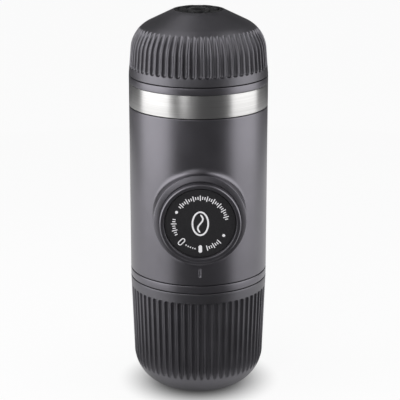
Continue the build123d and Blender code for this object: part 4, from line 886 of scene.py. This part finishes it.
head_lay = np.concatenate(
    [np.full(len(head_rise), head_lean), head_turn, np.full(len(cone_share), head_turn_end)]
)
sunk_reach = head_corner_radius + groove_radius - head_groove_depth
head_lift = sunk_reach / np.cos(np.clip(head_lay - groove_last, 0, 1.2)) - head_corner_radius
head_lift[len(head_rise) + len(head_turn):] = 1
head_groove = ball_end(head_groove_foot - head_line[:, 1])
head_ribs = ribbed(head_line, heading(head_lay), head_lift, head_groove, -np.pi / 2)
inner_corner = head_corner_radius - head_wall
neck_room = 0.0009
inner_foot_height = adapter_neck_top + neck_room
inner_foot = (
    head_side_radius - head_wall + (head_side_top - inner_foot_height) * np.tan(head_lean)
)
inner_cone_foot = corner_middle + inner_corner * heading(head_turn_end)
throat_height = inner_cone_foot[1] + (inner_cone_foot[0] - spout_throat) / np.tan(head_turn_end)
head_inside = np.concatenate(
    [[cone_edge, (spout_seat, head_top), (spout_seat, head_top - seat_depth),
      (spout_throat, head_top - seat_depth), (spout_throat, throat_height)],
     arc(corner_middle, inner_corner, head_turn_end, head_lean, 12),
     [(inner_foot, inner_foot_height), (skirt_bore, inner_foot_height)],
     arc((skirt_bore + fine, head_bottom + fine), fine, np.pi, 1.5 * np.pi, 4),
     arc((body_radius - edge_round, head_bottom + edge_round), edge_round,
         1.5 * np.pi, 2 * np.pi, 5)[:-1]]
)
head_lining = np.concatenate([turned(head_inside, way_round(head_ribs[-1])), head_ribs[:1]])
piece(
    "head_shell",
    [patch(head_ribs, around=True),
     patch(head_lining, around=True),
     *ridges(skirt_bore + ridge_root, skirt_bore - ridge_height, start=0.1489, span=female_span)],
    rib_lacquer, "outlet_head", "rib_plastic", "outlet_head",
)

# ---------- spout insert
# Black insert pressed into the top: a crown of eight notches round it, fins down to the dish
# between them, and the coffee's nozzle in the middle.
spout_radius, spout_neck, spout_bore = 0.0108, 0.0086, 0.0027
spout_foot, spout_top = 0.1712, 0.17505
crown_inside, nozzle_radius, dish_depth = 0.0096, 0.0053, 0.001
notch_count, notch_depth, fin_height = 8, 0.0006, 0.0006
notch_steepness, notch_share, fin_half_width, fin_flank = 9, 0.05, 0.00045, 0.00012
spout_way = full_turn(384)
notch = 0.5 + 0.5 * np.tanh(notch_steepness * (np.cos(notch_count * spout_way) - notch_share))
fin_gap = np.abs((notch_count * spout_way / (2 * np.pi) + 0.5) % 1 - 0.5) / notch_count
from_fin = np.abs(0.5 / notch_count - fin_gap) * 2 * np.pi


def spout_rows(profile):
    """Rings whose height sinks in the crown's notches and rises along the fins.

    Each row of the profile is a radius, a height, a share of the notches and one of the fins.
    """
    radius, height, notched, finned = np.array(profile).T[..., None]
    fin = 0.5 + 0.5 * np.tanh((fin_half_width - radius * from_fin) / fin_flank)
    rise = height - notched * notch_depth * notch + finned * fin_height * fin
    return round_axis(radius, rise, spout_way)


dish = spout_top - dish_depth
seat_height = head_top - seat_depth
fin_radii = np.linspace(crown_inside - 0.0002, nozzle_radius + 0.0002, 9)
spout_profile = [
    (spout_bore, spout_foot, 0, 0), (spout_neck, spout_foot, 0, 0),
    (spout_neck, seat_height, 0, 0), (spout_radius, seat_height, 0, 0),
    (spout_radius, spout_top - 0.0004, 0.4, 0), (spout_radius - 0.0001, spout_top - 0.0002, 0.8, 0),
    (spout_radius - 0.0003, spout_top - 0.00005, 1, 0), (spout_radius - 0.0005, spout_top, 1, 0),
    (crown_inside + 0.0002, spout_top, 1, 0), (crown_inside, spout_top - 0.0002, 0.8, 0),
    (crown_inside - 0.0001, dish, 0, 0), *[(radius, dish, 0, 1) for radius in fin_radii],
    (nozzle_radius + 0.0001, dish, 0, 0), (nozzle_radius, spout_top - 0.0003, 0, 0),
    (nozzle_radius - 0.0001, spout_top - 0.0001, 0, 0), (nozzle_radius - 0.0003, spout_top, 0, 0),
    (spout_bore + 0.0006, spout_top, 0, 0), (spout_bore, spout_top - 0.0005, 0, 0),
    (spout_bore, spout_foot, 0, 0),
]
spout_black = moulded(
    "spout_black", (0.009, 0.009, 0.01), (0.014, 0.014, 0.015), (0.42, 0.5), 1500, 2e-6
)
spout_black.node_tree.nodes["Principled BSDF"].inputs["Specular IOR Level"].default_value = 0.25
piece(
    "spout_crown", [patch(spout_rows(spout_profile), around=True)],
    spout_black, "outlet_head", "spout_black", "spout_insert",
)

# ---------- studio
# Pale floor and background, painted shade round the foot, a softbox on each side, two raised
# lamps at the left for the band's bright bar, and dark cards that only show in reflections.
scene.view_settings.view_transform = "Standard"
target = Vector((0, 0, 0.087))
eye = Vector((-0.0142, -0.67745, 0.2897))
camera_data = bpy.data.cameras.new("camera")
camera_data.lens = 139.64
camera_data.shift_x, camera_data.shift_y = 0.0039, 0.00125
camera = bpy.data.objects.new("camera", camera_data)
camera.location = eye
camera.rotation_euler = (target - eye).to_track_quat("-Z", "Y").to_euler()
scene.collection.objects.link(camera)
scene.camera = camera


def number(tree, operation, first, second):
    """A shader number worked out from two others."""
    return add(tree, "Math", {0: first, 1: second}, operation=operation)["Value"]


def seen_white(tree, surface, lit):
    """White towards the eye and in reflections; the surface as it is lit, mixed in by a share.

    A lit share of 0 is for the world, any other for a surface.
    """
    ray = add(tree, "LightPath", {})
    seen = number(tree, "MAXIMUM", ray["Is Camera Ray"], ray["Is Glossy Ray"])
    seen = number(tree, "MAXIMUM", seen, ray["Is Transmission Ray"])
    share = number(tree, "MULTIPLY", seen, 1 - lit)
    white = add(tree, "Emission" if lit else "Background", {"Color": (1, 1, 1, 1)})[0]
    return add(tree, "MixShader", {"Fac": share, 1: surface, 2: white})["Shader"]


world = scene.world or bpy.data.worlds.new("studio")
scene.world = world
world.use_nodes = True
sky = world.node_tree.nodes["Background"]
sky.inputs["Color"].default_value = (0.55, 0.55, 0.555, 1)
outlet = world.node_tree.nodes["World Output"].inputs["Surface"]
white = seen_white(world.node_tree, sky.outputs["Background"], 0)
world.node_tree.links.new(white, outlet)

floor_paint, tree, shader, place = new_material("floor_paint")
shader.inputs["Roughness"].default_value = 0.6
shade(tree, noise(tree, place, 3), (0.92, 0.92, 0.922), (0.95, 0.95, 0.952),
      shader.inputs["Base Color"])
# Round the foot the floor turns to a grey gloss that fades out with distance from the axis: painted
# shade on the floor round the foot, with a real reflection of the machine in it.
foot_shade_gloss = add(tree, "BsdfGlossy", {"Roughness": 0.28, "Color": (0.5, 0.5, 0.5, 1)})["BSDF"]
distance = add(tree, "VectorMath", {0: place}, operation="LENGTH")["Value"]
foot_shade_full, foot_shade_end, foot_shade_share = 0.013, 0.039, 0.98
fade = {"From Min": foot_shade_full, "From Max": foot_shade_end, "To Min": foot_shade_share, "To Max": 0}
# The ring of painted shade: full gloss at the foot, none past its end.
foot_shade_ring = add(tree, "MapRange", fade | {"Value": distance}, interpolation_type="SMOOTHSTEP")
dull = seen_white(tree, shader.outputs["BSDF"], 0.1)
floor_with_foot_shade = add(tree, "MixShader", {"Fac": foot_shade_ring["Result"], 1: dull, 2: foot_shade_gloss})["Shader"]
tree.links.new(floor_with_foot_shade, tree.nodes["Material Output"].inputs["Surface"])


def panel(name, corners, material):
    """A flat studio surface through its corners."""
    mesh = bpy.data.meshes.new(name)
    mesh.from_pydata(corners, [], [range(len(corners))])
    mesh.materials.append(material)
    made = bpy.data.objects.new(name, mesh)
    scene.collection.objects.link(made)
    return made


floor_half, floor_height = 2.5, -5e-5
panel("floor", [(x * floor_half, y * floor_half, floor_height)
                for x, y in ((-1, -1), (1, -1), (1, 1), (-1, 1))], floor_paint)


def compass(azimuth, distance, height):
    """A point round the machine: azimuth in degrees from the front, positive to the right."""
    angle = np.radians(azimuth)
    return Vector((distance * np.sin(angle), -distance * np.cos(angle), height))


card_dark, tree, shader, place = new_material("card_dark")
shade(tree, noise(tree, place, 20), (0.12, 0.12, 0.122), (0.145, 0.145, 0.147),
      shader.inputs["Base Color"])
shader.inputs["Roughness"].default_value = 1
shader.inputs["Specular IOR Level"].default_value = 0


def card(name, corners):
    """A dark card that only shows in reflections: unseen by the eye, and without a shadow."""
    made = panel(name, corners, card_dark)
    made.visible_camera = made.visible_shadow = made.visible_diffuse = False


def standing(name, first, last, distance, top):
    """A dark card on the floor between two azimuths."""
    feet = [compass(first, distance, 0.001), compass(last, distance, 0.001)]
    card(name, feet + [foot + Vector((0, 0, top)) for foot in feet[::-1]])


def softbox(name, first, last, distance, low, high, strength):
    """A soft lamp between two azimuths and two heights, facing the machine's axis."""
    middle, half = np.radians((first + last) / 2), np.radians(last - first) / 2
    lamp = bpy.data.lights.new(name, "AREA")
    lamp.shape = "RECTANGLE"
    lamp.size, lamp.size_y = 2 * distance * np.tan(half), high - low
    lamp.energy = strength * lamp.size * lamp.size_y * np.pi
    made = bpy.data.objects.new(name, lamp)
    made.location = compass(np.degrees(middle), distance, (low + high) / 2)
    made.rotation_euler = (np.pi / 2, 0, middle)
    made.visible_camera = False
    scene.collection.objects.link(made)


lamp_distance, lamp_low, lamp_high = 0.37, 0.002, 0.6
softbox("softbox_left", -103, -48, lamp_distance, lamp_low, lamp_high, 1.6)
softbox("softbox_right", 54, 105, lamp_distance, lamp_low, lamp_high, 1.22)
strip_distance, strip_low, strip_high = 0.49, 0.24, 0.55
softbox("strip_left", -31, -21, strip_distance, strip_low, strip_high, 7.5)
softbox("strip_faint", -21, -9, strip_distance, strip_low, strip_high, 3)

card_distance, front_top, back_top = 0.5, 0.9, 0.7
standing("card_left", -47, -34, card_distance, front_top)
standing("card_front", -35, 51, card_distance + 0.01, front_top)
for name, first, last in (("side_left", -160, -107), ("side_right", 108, 160),
                          ("back_left", -179, -160), ("back_right", 160, 179)):
    standing("card_" + name, first, last, card_distance, back_top)
left, right, ahead, behind, ceiling = -0.06, 0.25, -0.5, 0.7, 0.75
card("card_ceiling", [(left, ahead, ceiling), (right, ahead, ceiling), (right, behind, ceiling),
                      (left, behind, ceiling)])
card_height, near_end = 1e-4, 0.06
card("card_floor",
     [compass(-40, near_end, card_height), compass(53, near_end, card_height)]
     + [compass(azimuth, card_distance, card_height) for azimuth in (53, 5, -40)])
# A dark ring lying on the floor round the foot, seen only in reflections: painted shade of the
# floor under the cup, for the cup's foot to reflect.
ring_height, ring_inner, ring_outer = 2e-4, 0.042, 0.08
round_foot = np.arange(-115, 116, 5)
card("card_foot_shade", [compass(azimuth, ring_inner, ring_height) for azimuth in round_foot]
     + [compass(azimuth, ring_outer, ring_height) for azimuth in round_foot[::-1]])
